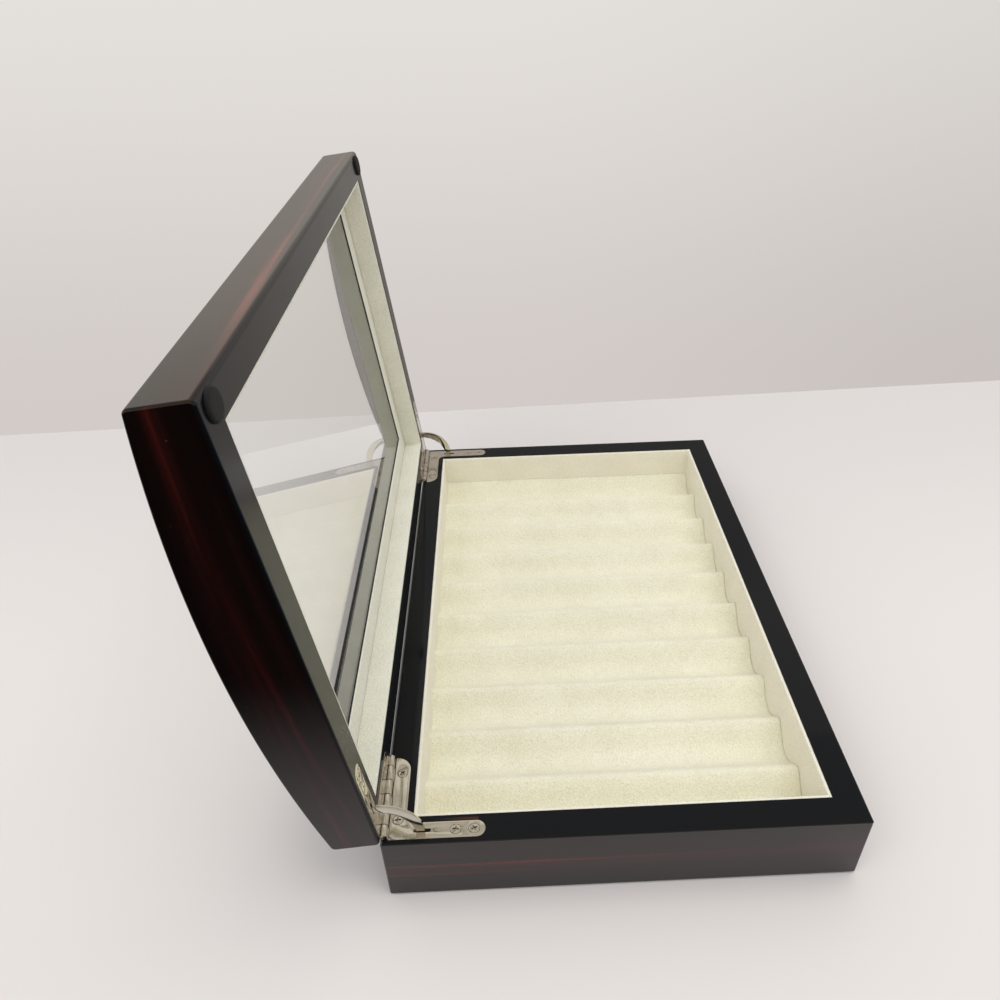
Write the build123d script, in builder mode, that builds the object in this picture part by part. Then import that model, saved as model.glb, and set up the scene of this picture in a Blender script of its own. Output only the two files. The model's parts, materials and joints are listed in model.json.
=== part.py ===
from build123d import *
from math import asin, cos, degrees, radians, sin, tan
import os

# Pen display case, in millimetres. The origin is the centre of the underside, +X runs along the case,
# +Y points to the hinged rear and +Z is up. The lid and all on it is drawn shut and swung open at the end.

# Case
case_length = 314.0
case_depth = 200.0
base_height = 36.6
lid_edge_height = 20.0
lid_crown = 9.4
mating_gap = 1.4
open_angle = 96.4
arris = 0.9
rim_arris = 0.5

# Base walls, floor and felt
base_wall = 12.6
felt_thickness = 0.8
felt_inset = 3.0
floor_thickness = 3.0
floor_rebate = 5.0
fitting_gap = 0.1

# Suede lining boards
lining_thickness = 1.5
lining_set_back = 0.3

# Pen tray
slot_count = 10
slot_depth = 8.8
slot_slope = 46.0
ridge_radius = 5.0
tray_bed = 4.8

# Lid rails, glass and ledge
lid_wall = 13.2
lid_arch_radius = 2.0
window_border = 25.7
window_bevel = 0.8
ledge_depth = 11.5
ledge_thickness = 0.9
glass_thickness = 2.0
glass_gap = 0.3
glass_arris = 0.3

# Hinge leaves. Distances run inward from the end face and forward from the rear face of the case.
pin_inset = 1.1
pin_radius = 0.8
pin_fit = 0.02
pin_running_gap = 0.06
barrel_radius = 1.75
barrel_start = 2.8
knuckle_count = 6
knuckle_length = 7.3
end_knuckle_length = 5.4
knuckle_gap = 0.3
leaf_thickness = 1.3
leaf_inset = 2.2
rear_arm_edge = 9.9
end_arm_edge = 9.8
end_arm_reach = 42.5
rear_arm_corner = 6.5
leaf_inner_corner = 4.0
leaf_recess_gap = 0.15
swing_gap = 0.3

# Leaf screws. Two stand in the rear arm and two near the tip of the end arm.
screw_head_radius = 2.2
screw_radius = 1.1
screw_length = 9.0
screw_sides = 10
screw_gap = 0.05
rear_arm_first_screw = 11.4
rear_arm_tip_to_screw = 8.2
rear_arm_screw_line = 6.4
end_arm_tip_to_screw = 4.6
end_arm_screw_pitch = 7.6

# Curved stays, flat plates that stand across the hinge pins, thicker at their heads
stay_radius = 14.6
stay_thickness = 1.0
stay_width = 4.5
stay_head_thickness = 3.4
stay_head_arc = 5.0
stay_gap = 0.3
slot_lead = 2.3
slot_corner = 0.7
mortise_spare_arc = 2.0

# Bumper discs at the lid's front corners
bumper_radius = 5.2
bumper_thickness = 2.0
bumper_end_distance = 9.2
bumper_front_distance = 6.6
bumper_clearance = 0.1

# Heights and lines that follow from the sizes above
half_length = case_length / 2
half_depth = case_depth / 2
lid_rim = base_height + mating_gap
pin_height = base_height + mating_gap / 2
pin_line = half_depth - pin_inset
pin_axis = Axis((0, pin_line, pin_height), (1, 0, 0))
closing_plane = Plane.XY.offset(pin_height)
open_swing = radians(open_angle)
rear_bevel = (pin_inset * (1 - cos(open_swing)) + swing_gap) / sin(open_swing) - mating_gap / 2 + fitting_gap
floor_top = felt_thickness + floor_thickness
lining_top = base_height - lining_set_back
end_arm_line = (leaf_inset + end_arm_edge) / 2
barrel_length = 2 * end_knuckle_length + (knuckle_count - 2) * knuckle_length
rear_arm_reach = barrel_start + barrel_length
running_radius = barrel_radius + swing_gap
stay_inner_radius = stay_radius - stay_width / 2
slot_back = stay_inner_radius - stay_gap
slot_front = stay_radius + stay_width / 2 + slot_lead
head_drop = leaf_thickness + mating_gap / 2 + stay_gap
head_start = open_angle / 2 + degrees(asin(head_drop / stay_inner_radius))
stay_half_arc = head_start + stay_head_arc
glass_seat = ledge_depth + ledge_thickness
frame_lip = glass_seat + glass_thickness
sides = ("front", "rear", "left", "right")


def from_corner(inward, forward):
    """Plan position at the left hinge corner, from its distances to the end and rear faces."""
    return (inward - half_length, half_depth - forward)


def spoke(angle):
    """Plane through the pin whose Y axis is the forward direction swung down by an angle."""
    turn = radians(angle)
    return Plane(origin=(0, pin_line, pin_height), x_dir=(1, 0, 0), z_dir=(0, sin(turn), -cos(turn)))


def mitred(frame, side, width):
    """One side of a four-sided frame, cut along the lines from its outer to its inner corners."""
    overrun = width / 2
    out_x = half_length + overrun
    out_y = half_depth + overrun
    in_x = half_length - width - overrun
    in_y = half_depth - width - overrun
    outlines = {
        "front": [(-out_x, -out_y), (out_x, -out_y), (in_x, -in_y), (-in_x, -in_y)],
        "rear": [(-out_x, out_y), (out_x, out_y), (in_x, in_y), (-in_x, in_y)],
        "left": [(-out_x, -out_y), (-out_x, out_y), (-in_x, in_y), (-in_x, -in_y)],
        "right": [(out_x, -out_y), (out_x, out_y), (in_x, in_y), (in_x, -in_y)],
    }
    with BuildPart() as rail:
        add(frame)
        with BuildSketch():
            with BuildLine():
                Polyline(*outlines[side], close=True)
            make_face()
        extrude(amount=case_length, mode=Mode.INTERSECT)
    return rail


def lining_board(side, wall, bottom, top):
    """One lining board. The front and rear boards run through and the end boards stand between them."""
    run_x = case_length - 2 * wall
    run_y = case_depth - 2 * wall
    middle = lining_thickness / 2
    with BuildPart() as board:
        if side in ("front", "rear"):
            line_y = half_depth - wall - middle
            with BuildSketch(Plane.XY.offset(bottom)):
                with Locations((0, line_y if side == "rear" else -line_y)):
                    Rectangle(run_x, lining_thickness)
        else:
            line_x = half_length - wall - middle
            with BuildSketch(Plane.XY.offset(bottom)):
                with Locations((line_x if side == "right" else -line_x, 0)):
                    Rectangle(lining_thickness, run_y - 2 * lining_thickness)
        extrude(amount=top - bottom)
    return board


def leaf_outline(margin):
    """Face of the L-shaped leaf, enlarged by a margin for its recess, in the open sketch."""
    with BuildSketch(mode=Mode.PRIVATE) as outline:
        with BuildLine():
            Polyline(
                from_corner(leaf_inset, pin_inset),
                from_corner(rear_arm_reach, pin_inset),
                from_corner(rear_arm_reach, rear_arm_edge),
                from_corner(end_arm_edge, rear_arm_edge),
                from_corner(end_arm_edge, end_arm_reach),
                from_corner(leaf_inset, end_arm_reach),
                close=True,
            )
        make_face()
        tip_corners = outline.vertices().group_by(Axis.Y)[0]
        fillet(tip_corners, (end_arm_edge - leaf_inset) / 2 - fitting_gap)
        rear_arm_corners = outline.vertices().group_by(Axis.X)[-1].sort_by(Axis.Y)
        fillet(rear_arm_corners[0], rear_arm_corner)
        elbow = Vector(*from_corner(end_arm_edge, rear_arm_edge))
        fillet(outline.vertices().sort_by_distance(elbow)[0], leaf_inner_corner)
        if margin > 0:
            offset(amount=margin)
    return outline.sketch


def screw_places():
    """Plan positions of the four screws of the left leaf."""
    end_arm_last_screw = end_arm_reach - end_arm_tip_to_screw
    return [
        from_corner(rear_arm_first_screw, rear_arm_screw_line),
        from_corner(rear_arm_reach - rear_arm_tip_to_screw, rear_arm_screw_line),
        from_corner(end_arm_line, end_arm_last_screw - end_arm_screw_pitch),
        from_corner(end_arm_line, end_arm_last_screw),
    ]


def screw_heads(gap):
    """Faceted countersunk heads of the left leaf's screws, or their holes, which are larger by a gap."""
    with BuildPart() as heads:
        with BuildSketch(Plane.XY.offset(base_height)):
            with Locations(*screw_places()):
                RegularPolygon(screw_head_radius + gap, screw_sides, major_radius=False)
        extrude(amount=-leaf_thickness)
        undersides = heads.faces().group_by(Axis.Z)[0]
        chamfer(undersides.edges(), screw_head_radius - screw_radius)
    return heads


def knuckle_ends(count):
    """Distances from the end face at which a knuckle starts and ends. The first and last are shorter."""
    lengths = [end_knuckle_length] + [knuckle_length] * (knuckle_count - 2) + [end_knuckle_length]
    start = barrel_start + sum(lengths[:count])
    return start + knuckle_gap / 2, start + lengths[count] - knuckle_gap / 2


def hinge_leaf(first_knuckle):
    """Left leaf let into the base rim, with every second knuckle counted from the end face."""
    head_holes = screw_heads(screw_gap)
    with BuildPart() as leaf:
        with BuildSketch(Plane.XY.offset(base_height - leaf_thickness)):
            add(leaf_outline(0))
        extrude(amount=leaf_thickness)
        with BuildSketch(Plane.XY.offset(base_height - leaf_thickness)) as stay_slot:
            slot_middle = pin_inset + (slot_back + slot_front) / 2
            with Locations(from_corner(end_arm_line, slot_middle)):
                Rectangle(stay_thickness + 2 * stay_gap, slot_front - slot_back)
            fillet(stay_slot.vertices().group_by(Axis.Y)[0], slot_corner)
        extrude(amount=leaf_thickness, mode=Mode.SUBTRACT)
        with BuildSketch(Plane.YZ.offset(barrel_start - half_length)):
            with Locations((pin_line, pin_height)):
                Circle(running_radius)
        extrude(amount=barrel_length, mode=Mode.SUBTRACT)
        for count in range(first_knuckle, knuckle_count, 2):
            start, end = knuckle_ends(count)
            with BuildSketch(Plane.YZ.offset(start - half_length)):
                with Locations((pin_line, pin_height)):
                    Circle(barrel_radius)
                with Locations((pin_line - running_radius / 2, base_height - leaf_thickness / 2)):
                    Rectangle(running_radius, leaf_thickness)
            extrude(amount=end - start)
        bore_gap = pin_running_gap if first_knuckle else pin_fit
        with BuildSketch(Plane.YZ.offset(barrel_start - half_length)):
            with Locations((pin_line, pin_height)):
                Circle(pin_radius + bore_gap)
        extrude(amount=barrel_length, mode=Mode.SUBTRACT)
        add(head_holes.part, mode=Mode.SUBTRACT)
    return leaf


def hinge_mortise():
    """What is cut from the base at its left hinge corner for the leaf, the barrel, the stay and the screws."""
    with BuildPart() as mortise:
        with BuildSketch(Plane.XY.offset(base_height - leaf_thickness)):
            add(leaf_outline(leaf_recess_gap))
        extrude(amount=leaf_thickness + mating_gap)
        with BuildSketch(Plane.YZ.offset(barrel_start - knuckle_gap - half_length)):
            with Locations((pin_line, pin_height)):
                Circle(running_radius)
        extrude(amount=barrel_length + 2 * knuckle_gap)
        with BuildSketch(spoke(0)):
            with Locations((end_arm_line - half_length, stay_radius)):
                Rectangle(stay_head_thickness + 2 * stay_gap, stay_width + 2 * stay_gap)
        revolve(axis=pin_axis, revolution_arc=stay_half_arc + mortise_spare_arc)
        pilot_depth = screw_length + leaf_thickness
        with BuildSketch(Plane.XY.offset(base_height - pilot_depth)):
            with Locations(*screw_places()):
                RegularPolygon(screw_radius + screw_gap, screw_sides, major_radius=False)
        extrude(amount=pilot_depth)
    return mortise


def hinge_screws():
    """The four countersunk screws of the left base leaf, as separate solids."""
    heads = screw_heads(0)
    with BuildPart() as screws:
        add(heads.part)
        with BuildSketch(Plane.XY.offset(base_height - leaf_thickness)):
            with Locations(*screw_places()):
                RegularPolygon(screw_radius, screw_sides, major_radius=False)
        extrude(amount=leaf_thickness - screw_length)
    return screws


def hinge_pin():
    """Pin of the left hinge, as long as its barrel."""
    with BuildPart() as pin:
        with BuildSketch(Plane.YZ.offset(barrel_start - half_length)):
            with Locations((pin_line, pin_height)):
                Circle(pin_radius)
        extrude(amount=barrel_length)
    return pin


def curved_stay():
    """Left stay, a flat plate cut to an arc round the pin, thicker at its ends, drawn for a shut lid."""
    stay_place = (end_arm_line - half_length, stay_radius)
    with BuildPart() as stay:
        with BuildSketch(spoke(-stay_half_arc)):
            with Locations(stay_place):
                Rectangle(stay_thickness, stay_width)
        revolve(axis=pin_axis, revolution_arc=2 * stay_half_arc)
        for start in (-stay_half_arc, head_start):
            with BuildSketch(spoke(start)):
                with Locations(stay_place):
                    Rectangle(stay_head_thickness, stay_width)
            revolve(axis=pin_axis, revolution_arc=stay_head_arc)
    return stay


def write(piece, name, swing=0.0):
    """Swing a finished piece about the hinge pins, label it and write its file."""
    if swing:
        piece.part = piece.part.rotate(pin_axis, swing)
    piece.part.label = name
    export_step(piece.part, f"parts/{name}.step")


def mirrored(piece, plane):
    """The same piece on the other side of a plane."""
    with BuildPart() as copy:
        mirror(piece.part, about=plane)
    return copy


os.makedirs("parts", exist_ok=True)

# What is cut for the hinges from the base. Its mirror image in the closing plane is cut from the lid.
left_mortise = hinge_mortise()
with BuildPart() as hinge_cuts:
    add(left_mortise.part)
    mirror(left_mortise.part, about=Plane.YZ)
    with BuildSketch(Plane.YZ):
        with BuildLine():
            Polyline(
                (half_depth - rear_bevel - mating_gap / 2, pin_height),
                (half_depth + mating_gap / 2, base_height - rear_bevel - mating_gap / 2),
                (half_depth + mating_gap / 2, pin_height),
                close=True,
            )
        make_face()
    extrude(amount=half_length, both=True)

# Base frame, before it is cut into four mitred walls
with BuildPart() as base_frame:
    with BuildSketch(Plane.XY.offset(felt_thickness)):
        RectangleRounded(case_length, case_depth, arris)
    extrude(amount=base_height - felt_thickness)
    chamfer(base_frame.faces().filter_by(Axis.Z).edges(), rim_arris)
    with BuildSketch(Plane.XY.offset(felt_thickness)):
        Rectangle(case_length - 2 * base_wall, case_depth - 2 * base_wall)
    extrude(amount=base_height, mode=Mode.SUBTRACT)
    rebate_inset = 2 * (base_wall - floor_rebate)
    with BuildSketch(Plane.XY.offset(felt_thickness)):
        Rectangle(case_length - rebate_inset, case_depth - rebate_inset)
    extrude(amount=floor_thickness, mode=Mode.SUBTRACT)
    add(hinge_cuts.part, mode=Mode.SUBTRACT)

for side in sides:
    write(mitred(base_frame.part, side, base_wall), f"base_{side}_wall")

# Floor board, let into the walls from below
with BuildPart() as base_floor:
    floor_inset = rebate_inset + 2 * fitting_gap
    with BuildSketch(Plane.XY.offset(felt_thickness)):
        Rectangle(case_length - floor_inset, case_depth - floor_inset)
    extrude(amount=floor_thickness)
write(base_floor, "base_floor")

# Felt under the base
with BuildPart() as base_felt:
    with BuildSketch():
        Rectangle(case_length - 2 * felt_inset, case_depth - 2 * felt_inset)
    extrude(amount=felt_thickness)
write(base_felt, "base_felt")

# Suede lining boards of the base
for side in sides:
    write(lining_board(side, base_wall, floor_top, lining_top), f"base_lining_{side}")

# Pen tray: a padded bed with one trough for each pen, running from front to rear
tray_length = case_length - 2 * (base_wall + lining_thickness + fitting_gap)
tray_depth = case_depth - 2 * (base_wall + lining_thickness + fitting_gap)
slot_pitch = tray_length / slot_count
trough_floor = floor_top + tray_bed
ridge_top = trough_floor + slot_depth
arc_radii = (slot_pitch / 2 * tan(radians(slot_slope)) - slot_depth) / (1 / cos(radians(slot_slope)) - 1)
trough_radius = arc_radii - ridge_radius
with BuildPart() as pen_tray:
    with BuildSketch(Plane.XZ):
        with BuildLine():
            previous = (-tray_length / 2, ridge_top)
            for count in range(slot_count):
                left_ridge = count * slot_pitch - tray_length / 2
                middle = left_ridge + slot_pitch / 2
                right_ridge = left_ridge + slot_pitch
                falling = CenterArc((left_ridge, ridge_top - ridge_radius), ridge_radius, 90, -slot_slope)
                trough = CenterArc(
                    (middle, trough_floor + trough_radius), trough_radius, 270 - slot_slope, 2 * slot_slope
                )
                rising = CenterArc(
                    (right_ridge, ridge_top - ridge_radius), ridge_radius, 90 + slot_slope, -slot_slope
                )
                Line(falling @ 1, trough @ 0)
                Line(trough @ 1, rising @ 0)
            Line((tray_length / 2, ridge_top), (tray_length / 2, floor_top))
            Line((tray_length / 2, floor_top), (-tray_length / 2, floor_top))
            Line((-tray_length / 2, floor_top), (-tray_length / 2, ridge_top))
        make_face()
    extrude(amount=tray_depth / 2, both=True)
write(pen_tray, "pen_tray")

# Lid frame with its arched top, before it is cut into four mitred rails
with BuildPart() as lid_frame:
    with BuildSketch(Plane.YZ) as lid_profile:
        with BuildLine():
            lid_edge = lid_rim + lid_edge_height
            ThreePointArc((-half_depth, lid_edge), (0, lid_edge + lid_crown), (half_depth, lid_edge))
            Polyline(
                (half_depth, lid_edge),
                (half_depth, lid_rim),
                (-half_depth, lid_rim),
                (-half_depth, lid_edge),
            )
        make_face()
        arch_ends = [vertex for vertex in lid_profile.vertices() if abs(vertex.Y - lid_edge) < fitting_gap]
        fillet(arch_ends, lid_arch_radius)
    extrude(amount=half_length, both=True)
    end_edges = lid_frame.faces().filter_by(Axis.X).edges()
    chamfer(end_edges.filter_by(lambda edge: edge.center().Z > lid_rim + rim_arris), arris)
    chamfer(lid_frame.faces().sort_by(Axis.Z)[0].edges(), rim_arris)
    with BuildSketch(Plane.XY.offset(lid_rim)):
        Rectangle(case_length - 2 * lid_wall, case_depth - 2 * lid_wall)
    extrude(amount=frame_lip, mode=Mode.SUBTRACT)
    with BuildSketch(Plane.XY.offset(lid_rim)):
        Rectangle(case_length - 2 * window_border, case_depth - 2 * window_border)
    extrude(amount=lid_edge_height + lid_crown, mode=Mode.SUBTRACT)
    window_edges = lid_frame.faces().sort_by(Axis.Z)[-1].inner_wires()[0].edges()
    chamfer(window_edges, window_bevel)
    mirror(hinge_cuts.part, about=closing_plane, mode=Mode.SUBTRACT)
    bumper_y = bumper_front_distance - half_depth
    bumper_x = half_length - bumper_end_distance
    with BuildSketch(Plane.XY.offset(lid_rim)):
        with Locations((-bumper_x, bumper_y), (bumper_x, bumper_y)):
            Circle(bumper_radius)
    extrude(amount=bumper_thickness - mating_gap + bumper_clearance, mode=Mode.SUBTRACT)

for side in sides:
    write(mitred(lid_frame.part, side, window_border), f"lid_{side}_rail", -open_angle)

# Glass, in the recess behind the rails' lip
with BuildPart() as glass_pane:
    with BuildSketch(Plane.XY.offset(lid_rim + glass_seat)):
        glass_inset = 2 * (lid_wall + glass_gap)
        Rectangle(case_length - glass_inset, case_depth - glass_inset)
    extrude(amount=glass_thickness)
    chamfer(glass_pane.edges().filter_by(Axis.Z, reverse=True), glass_arris)
write(glass_pane, "glass_pane", -open_angle)

# Suede-covered ledge board that holds the glass
with BuildPart() as lid_ledge_lining:
    with BuildSketch(Plane.XY.offset(lid_rim + ledge_depth)):
        Rectangle(case_length - 2 * lid_wall, case_depth - 2 * lid_wall)
        Rectangle(
            case_length - 2 * window_border,
            case_depth - 2 * window_border,
            mode=Mode.SUBTRACT,
        )
    extrude(amount=ledge_thickness)
write(lid_ledge_lining, "lid_ledge_lining", -open_angle)

# Suede lining boards of the lid
for side in sides:
    board = lining_board(side, lid_wall, lid_rim + lining_set_back, lid_rim + ledge_depth)
    write(board, f"lid_lining_{side}", -open_angle)

# Bumper discs, let into the lid's rim and standing proud of it
with BuildPart() as lid_bumpers:
    with BuildSketch(Plane.XY.offset(base_height + bumper_clearance)):
        with Locations((-bumper_x, bumper_y), (bumper_x, bumper_y)):
            Circle(bumper_radius)
    extrude(amount=bumper_thickness)
write(lid_bumpers, "lid_bumpers", -open_angle)

# Hinge hardware of both ends. The lid leaf is the mirror image of a base leaf with the other knuckles.
left_hardware = {
    "base_hinge_leaf": (hinge_leaf(0), 0),
    "base_hinge_screws": (hinge_screws(), 0),
    "hinge_pin": (hinge_pin(), 0),
    "lid_hinge_leaf": (mirrored(hinge_leaf(1), closing_plane), -open_angle),
    "lid_hinge_screws": (mirrored(hinge_screws(), closing_plane), -open_angle),
    "stay": (curved_stay(), -open_angle / 2),
}
for name, (piece, swing) in left_hardware.items():
    write(mirrored(piece, Plane.YZ), f"{name}_right", swing)
    write(piece, f"{name}_left", swing)

print(f"closed height {lid_edge + lid_crown:.1f}, rear bevel {rear_bevel:.2f}, slot pitch {slot_pitch:.2f}")
print(f"trough radius {trough_radius:.2f}, stay half arc {stay_half_arc:.1f} degrees")
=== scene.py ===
"""Dressed scene of the pen display case.

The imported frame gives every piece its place. The base's walls, its floor board and the glass keep their
solids and get a finish. The rails of the lid are copies of theirs with rounded arrises. The suede pieces,
the felt, the rubber discs and the two hinges are modelled anew. Then come the table, the light and the
camera. All lengths are in metres unless a name or a class says otherwise.
"""

from __future__ import annotations

import json
import logging
import math
from collections.abc import Sequence
from dataclasses import dataclass, field, replace
from enum import Enum

import bmesh
import bpy
from mathutils import Matrix, Vector, noise

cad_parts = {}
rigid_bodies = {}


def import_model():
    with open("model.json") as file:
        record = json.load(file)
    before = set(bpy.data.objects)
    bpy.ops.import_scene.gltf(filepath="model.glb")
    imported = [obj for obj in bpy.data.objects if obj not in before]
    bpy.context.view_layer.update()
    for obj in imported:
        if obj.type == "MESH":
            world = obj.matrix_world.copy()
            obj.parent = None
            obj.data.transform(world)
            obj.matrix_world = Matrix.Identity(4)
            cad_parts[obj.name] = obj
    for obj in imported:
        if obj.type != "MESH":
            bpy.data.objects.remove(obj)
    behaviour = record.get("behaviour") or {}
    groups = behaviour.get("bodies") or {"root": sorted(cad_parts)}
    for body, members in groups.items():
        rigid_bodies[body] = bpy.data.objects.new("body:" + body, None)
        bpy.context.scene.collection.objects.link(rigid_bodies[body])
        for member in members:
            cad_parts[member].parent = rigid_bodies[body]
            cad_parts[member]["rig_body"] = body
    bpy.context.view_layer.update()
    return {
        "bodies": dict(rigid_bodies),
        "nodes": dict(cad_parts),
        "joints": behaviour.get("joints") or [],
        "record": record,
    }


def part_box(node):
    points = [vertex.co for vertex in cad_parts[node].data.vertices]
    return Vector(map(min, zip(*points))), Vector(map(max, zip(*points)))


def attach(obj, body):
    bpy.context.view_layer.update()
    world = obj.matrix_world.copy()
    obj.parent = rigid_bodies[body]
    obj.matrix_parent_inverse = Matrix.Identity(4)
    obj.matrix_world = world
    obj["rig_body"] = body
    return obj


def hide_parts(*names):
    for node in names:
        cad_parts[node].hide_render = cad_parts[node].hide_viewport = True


LOG = logging.getLogger("pen_display_case")
MM = 0.001

Point = tuple[float, float, float]
Colour = tuple[float, float, float]


class Side(Enum):
    """The four sides of the case, as its nodes name them."""

    FRONT = "front"
    REAR = "rear"
    LEFT = "left"
    RIGHT = "right"

    @property
    def runs_along_x(self) -> bool:
        """True for the two long sides."""
        return self in (Side.FRONT, Side.REAR)


class Hand(Enum):
    """The two hinges."""

    LEFT = "left"
    RIGHT = "right"

    @property
    def outward(self) -> int:
        """Sign of X on the outer side of this hinge."""
        return -1 if self is Hand.LEFT else 1


def linear(red: int, green: int, blue: int) -> Colour:
    """Turns a colour as a screen shows it into scene-linear values.

    Args:
        red: Red from 0 to 255.
        green: Green from 0 to 255.
        blue: Blue from 0 to 255.

    Returns:
        The three linear values.
    """
    shares = [channel / 255 for channel in (red, green, blue)]
    return tuple(s / 12.92 if s <= 0.04045 else ((s + 0.055) / 1.055) ** 2.4 for s in shares)


@dataclass(frozen=True)
class Pivot:
    """The line of the hinge pins and how far the lid stands open in the frame."""

    place: Vector
    angle: float

    @classmethod
    def of_frame(cls, frame: dict) -> Pivot:
        """Reads the pivot from the lid's joint.


        Returns:
            The pivot of the lid.
        """
        joint = next(entry for entry in frame["joints"] if entry["name"] == "lid_hinge")
        return cls(Vector(joint["pos_m"]), math.radians(joint["range_deg"][1]))

    def swing(self, share: float = 1.0) -> Matrix:
        """Matrix that takes a point of the shut case to where it lies in the frame.

        Args:
            share: Part of the opening angle, which is 1 for the lid and 0.5 for a stay.

        Returns:
            The turn about the pins.
        """
        there = Matrix.Translation(self.place)
        return there @ Matrix.Rotation(-self.angle * share, 4, "X") @ there.inverted()


def shut_box(node: bpy.types.Object, swing: Matrix) -> tuple[Vector, Vector]:
    """Box of a node as it lies when the case is shut.

    Args:
        node: A node of the frame.
        swing: The turn that opened it.

    Returns:
        Its lowest and highest corners.
    """
    back = swing.inverted()
    points = [back @ vertex.co for vertex in node.data.vertices]
    low = Vector(min(point[axis] for point in points) for axis in range(3))
    high = Vector(max(point[axis] for point in points) for axis in range(3))
    return low, high


def face_outward(work: bmesh.types.BMesh) -> None:
    """Turns the faces of one closed solid outwards, and leaves an open sheet as it is."""
    closed = all(edge.is_manifold for edge in work.edges)
    if closed and work.calc_volume(signed=True) < 0:
        bmesh.ops.reverse_faces(work, faces=work.faces[:])


def make_object(
    name: str,
    points: Sequence[Sequence[float]],
    faces: Sequence[Sequence[int]],
    sharp_degrees: float = 40.0,
) -> bpy.types.Object:
    """Makes a smooth-shaded mesh object.

    Args:
        name: Name of the piece.
        points: Its vertices.
        faces: Its faces, as vertex numbers.
        sharp_degrees: Edges that turn by more than this stay sharp.

    Returns:
        The new object, linked to the scene.
    """
    mesh = bpy.data.meshes.new(name)
    mesh.from_pydata([tuple(point) for point in points], [], [tuple(face) for face in faces])
    mesh.validate()
    work = bmesh.new()
    work.from_mesh(mesh)
    face_outward(work)
    work.to_mesh(mesh)
    work.free()
    mesh.shade_smooth()
    mesh.set_sharp_from_angle(angle=math.radians(sharp_degrees))
    piece = bpy.data.objects.new(name, mesh)
    bpy.context.scene.collection.objects.link(piece)
    return piece


def loft(
    rings: Sequence[Sequence[Vector]], closed: bool = False
) -> tuple[list[Vector], list[list[int]]]:
    """Joins rings of points into a skin.

    Args:
        rings: Rings with the same number of points.
        closed: Joins the last ring to the first, and otherwise both ends are capped.

    Returns:
        The points and the faces.
    """
    count = len(rings[0])
    points = [point for ring in rings for point in ring]
    faces = []
    steps = len(rings) if closed else len(rings) - 1
    for step in range(steps):
        here = step * count
        there = (step + 1) % len(rings) * count
        for index in range(count):
            after = (index + 1) % count
            faces.append([here + index, here + after, there + after, there + index])
    if not closed:
        faces.append(list(range(count))[::-1])
        faces.append([len(points) - count + index for index in range(count)])
    return points, faces


def rounded_rectangle(
    width: float, height: float, radius: float, steps: int = 4
) -> list[tuple[float, float]]:
    """Outline of a rectangle about the origin with rounded corners.

    Args:
        width: Its width.
        height: Its height.
        radius: Radius of its corners.
        steps: Steps in each corner.

    Returns:
        Its points, counter-clockwise.
    """
    outline = []
    corners = ((1, 1, 0), (-1, 1, 90), (-1, -1, 180), (1, -1, 270))
    for sign_x, sign_y, start in corners:
        centre_x = sign_x * (width / 2 - radius)
        centre_y = sign_y * (height / 2 - radius)
        for step in range(steps + 1):
            turn = math.radians(start + 90 * step / steps)
            outline.append((centre_x + radius * math.cos(turn), centre_y + radius * math.sin(turn)))
    return outline


@dataclass(frozen=True)
class Corner:
    """A corner of a flat outline and the radius it is rounded to."""

    place: Vector
    radius: float = 0.0


def rounded_outline(corners: Sequence[Corner], steps: int = 7) -> list[Vector]:
    """Rounds the corners of a closed outline.

    Args:
        corners: Its corners, counter-clockwise.
        steps: Steps in each rounding.

    Returns:
        The points of the outline.
    """
    outline = []
    for index, corner in enumerate(corners):
        if not corner.radius:
            outline.append(corner.place)
            continue
        back = (corners[index - 1].place - corner.place).normalized()
        ahead = (corners[(index + 1) % len(corners)].place - corner.place).normalized()
        half = back.angle(ahead) / 2
        centre = corner.place + (back + ahead).normalized() * corner.radius / math.sin(half)
        start = corner.place + back * corner.radius / math.tan(half) - centre
        turn = start.angle_signed(corner.place + ahead * corner.radius / math.tan(half) - centre)
        for step in range(steps + 1):
            outline.append(centre + Matrix.Rotation(-turn * step / steps, 2) @ start)
    return outline


def circle(centre: Vector, radius: float, steps: int = 32) -> list[Vector]:
    """Points round a circle in a plane, counter-clockwise."""
    turns = [2 * math.pi * step / steps for step in range(steps)]
    return [centre + radius * Vector((math.cos(turn), math.sin(turn))) for turn in turns]


def drawn_in(outline: Sequence[Vector], amount: float) -> list[Vector]:
    """Moves a closed counter-clockwise outline inwards by an amount.

    Args:
        outline: Its points.
        amount: How far, which is negative to move outwards.

    Returns:
        The moved points.
    """
    moved = []
    for index, here in enumerate(outline):
        first = (here - outline[index - 1]).normalized()
        second = (outline[(index + 1) % len(outline)] - here).normalized()
        along = (first + second).normalized()
        moved.append(here + Vector((-along.y, along.x)) * amount / max(along.dot(first), 0.3))
    return moved


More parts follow.
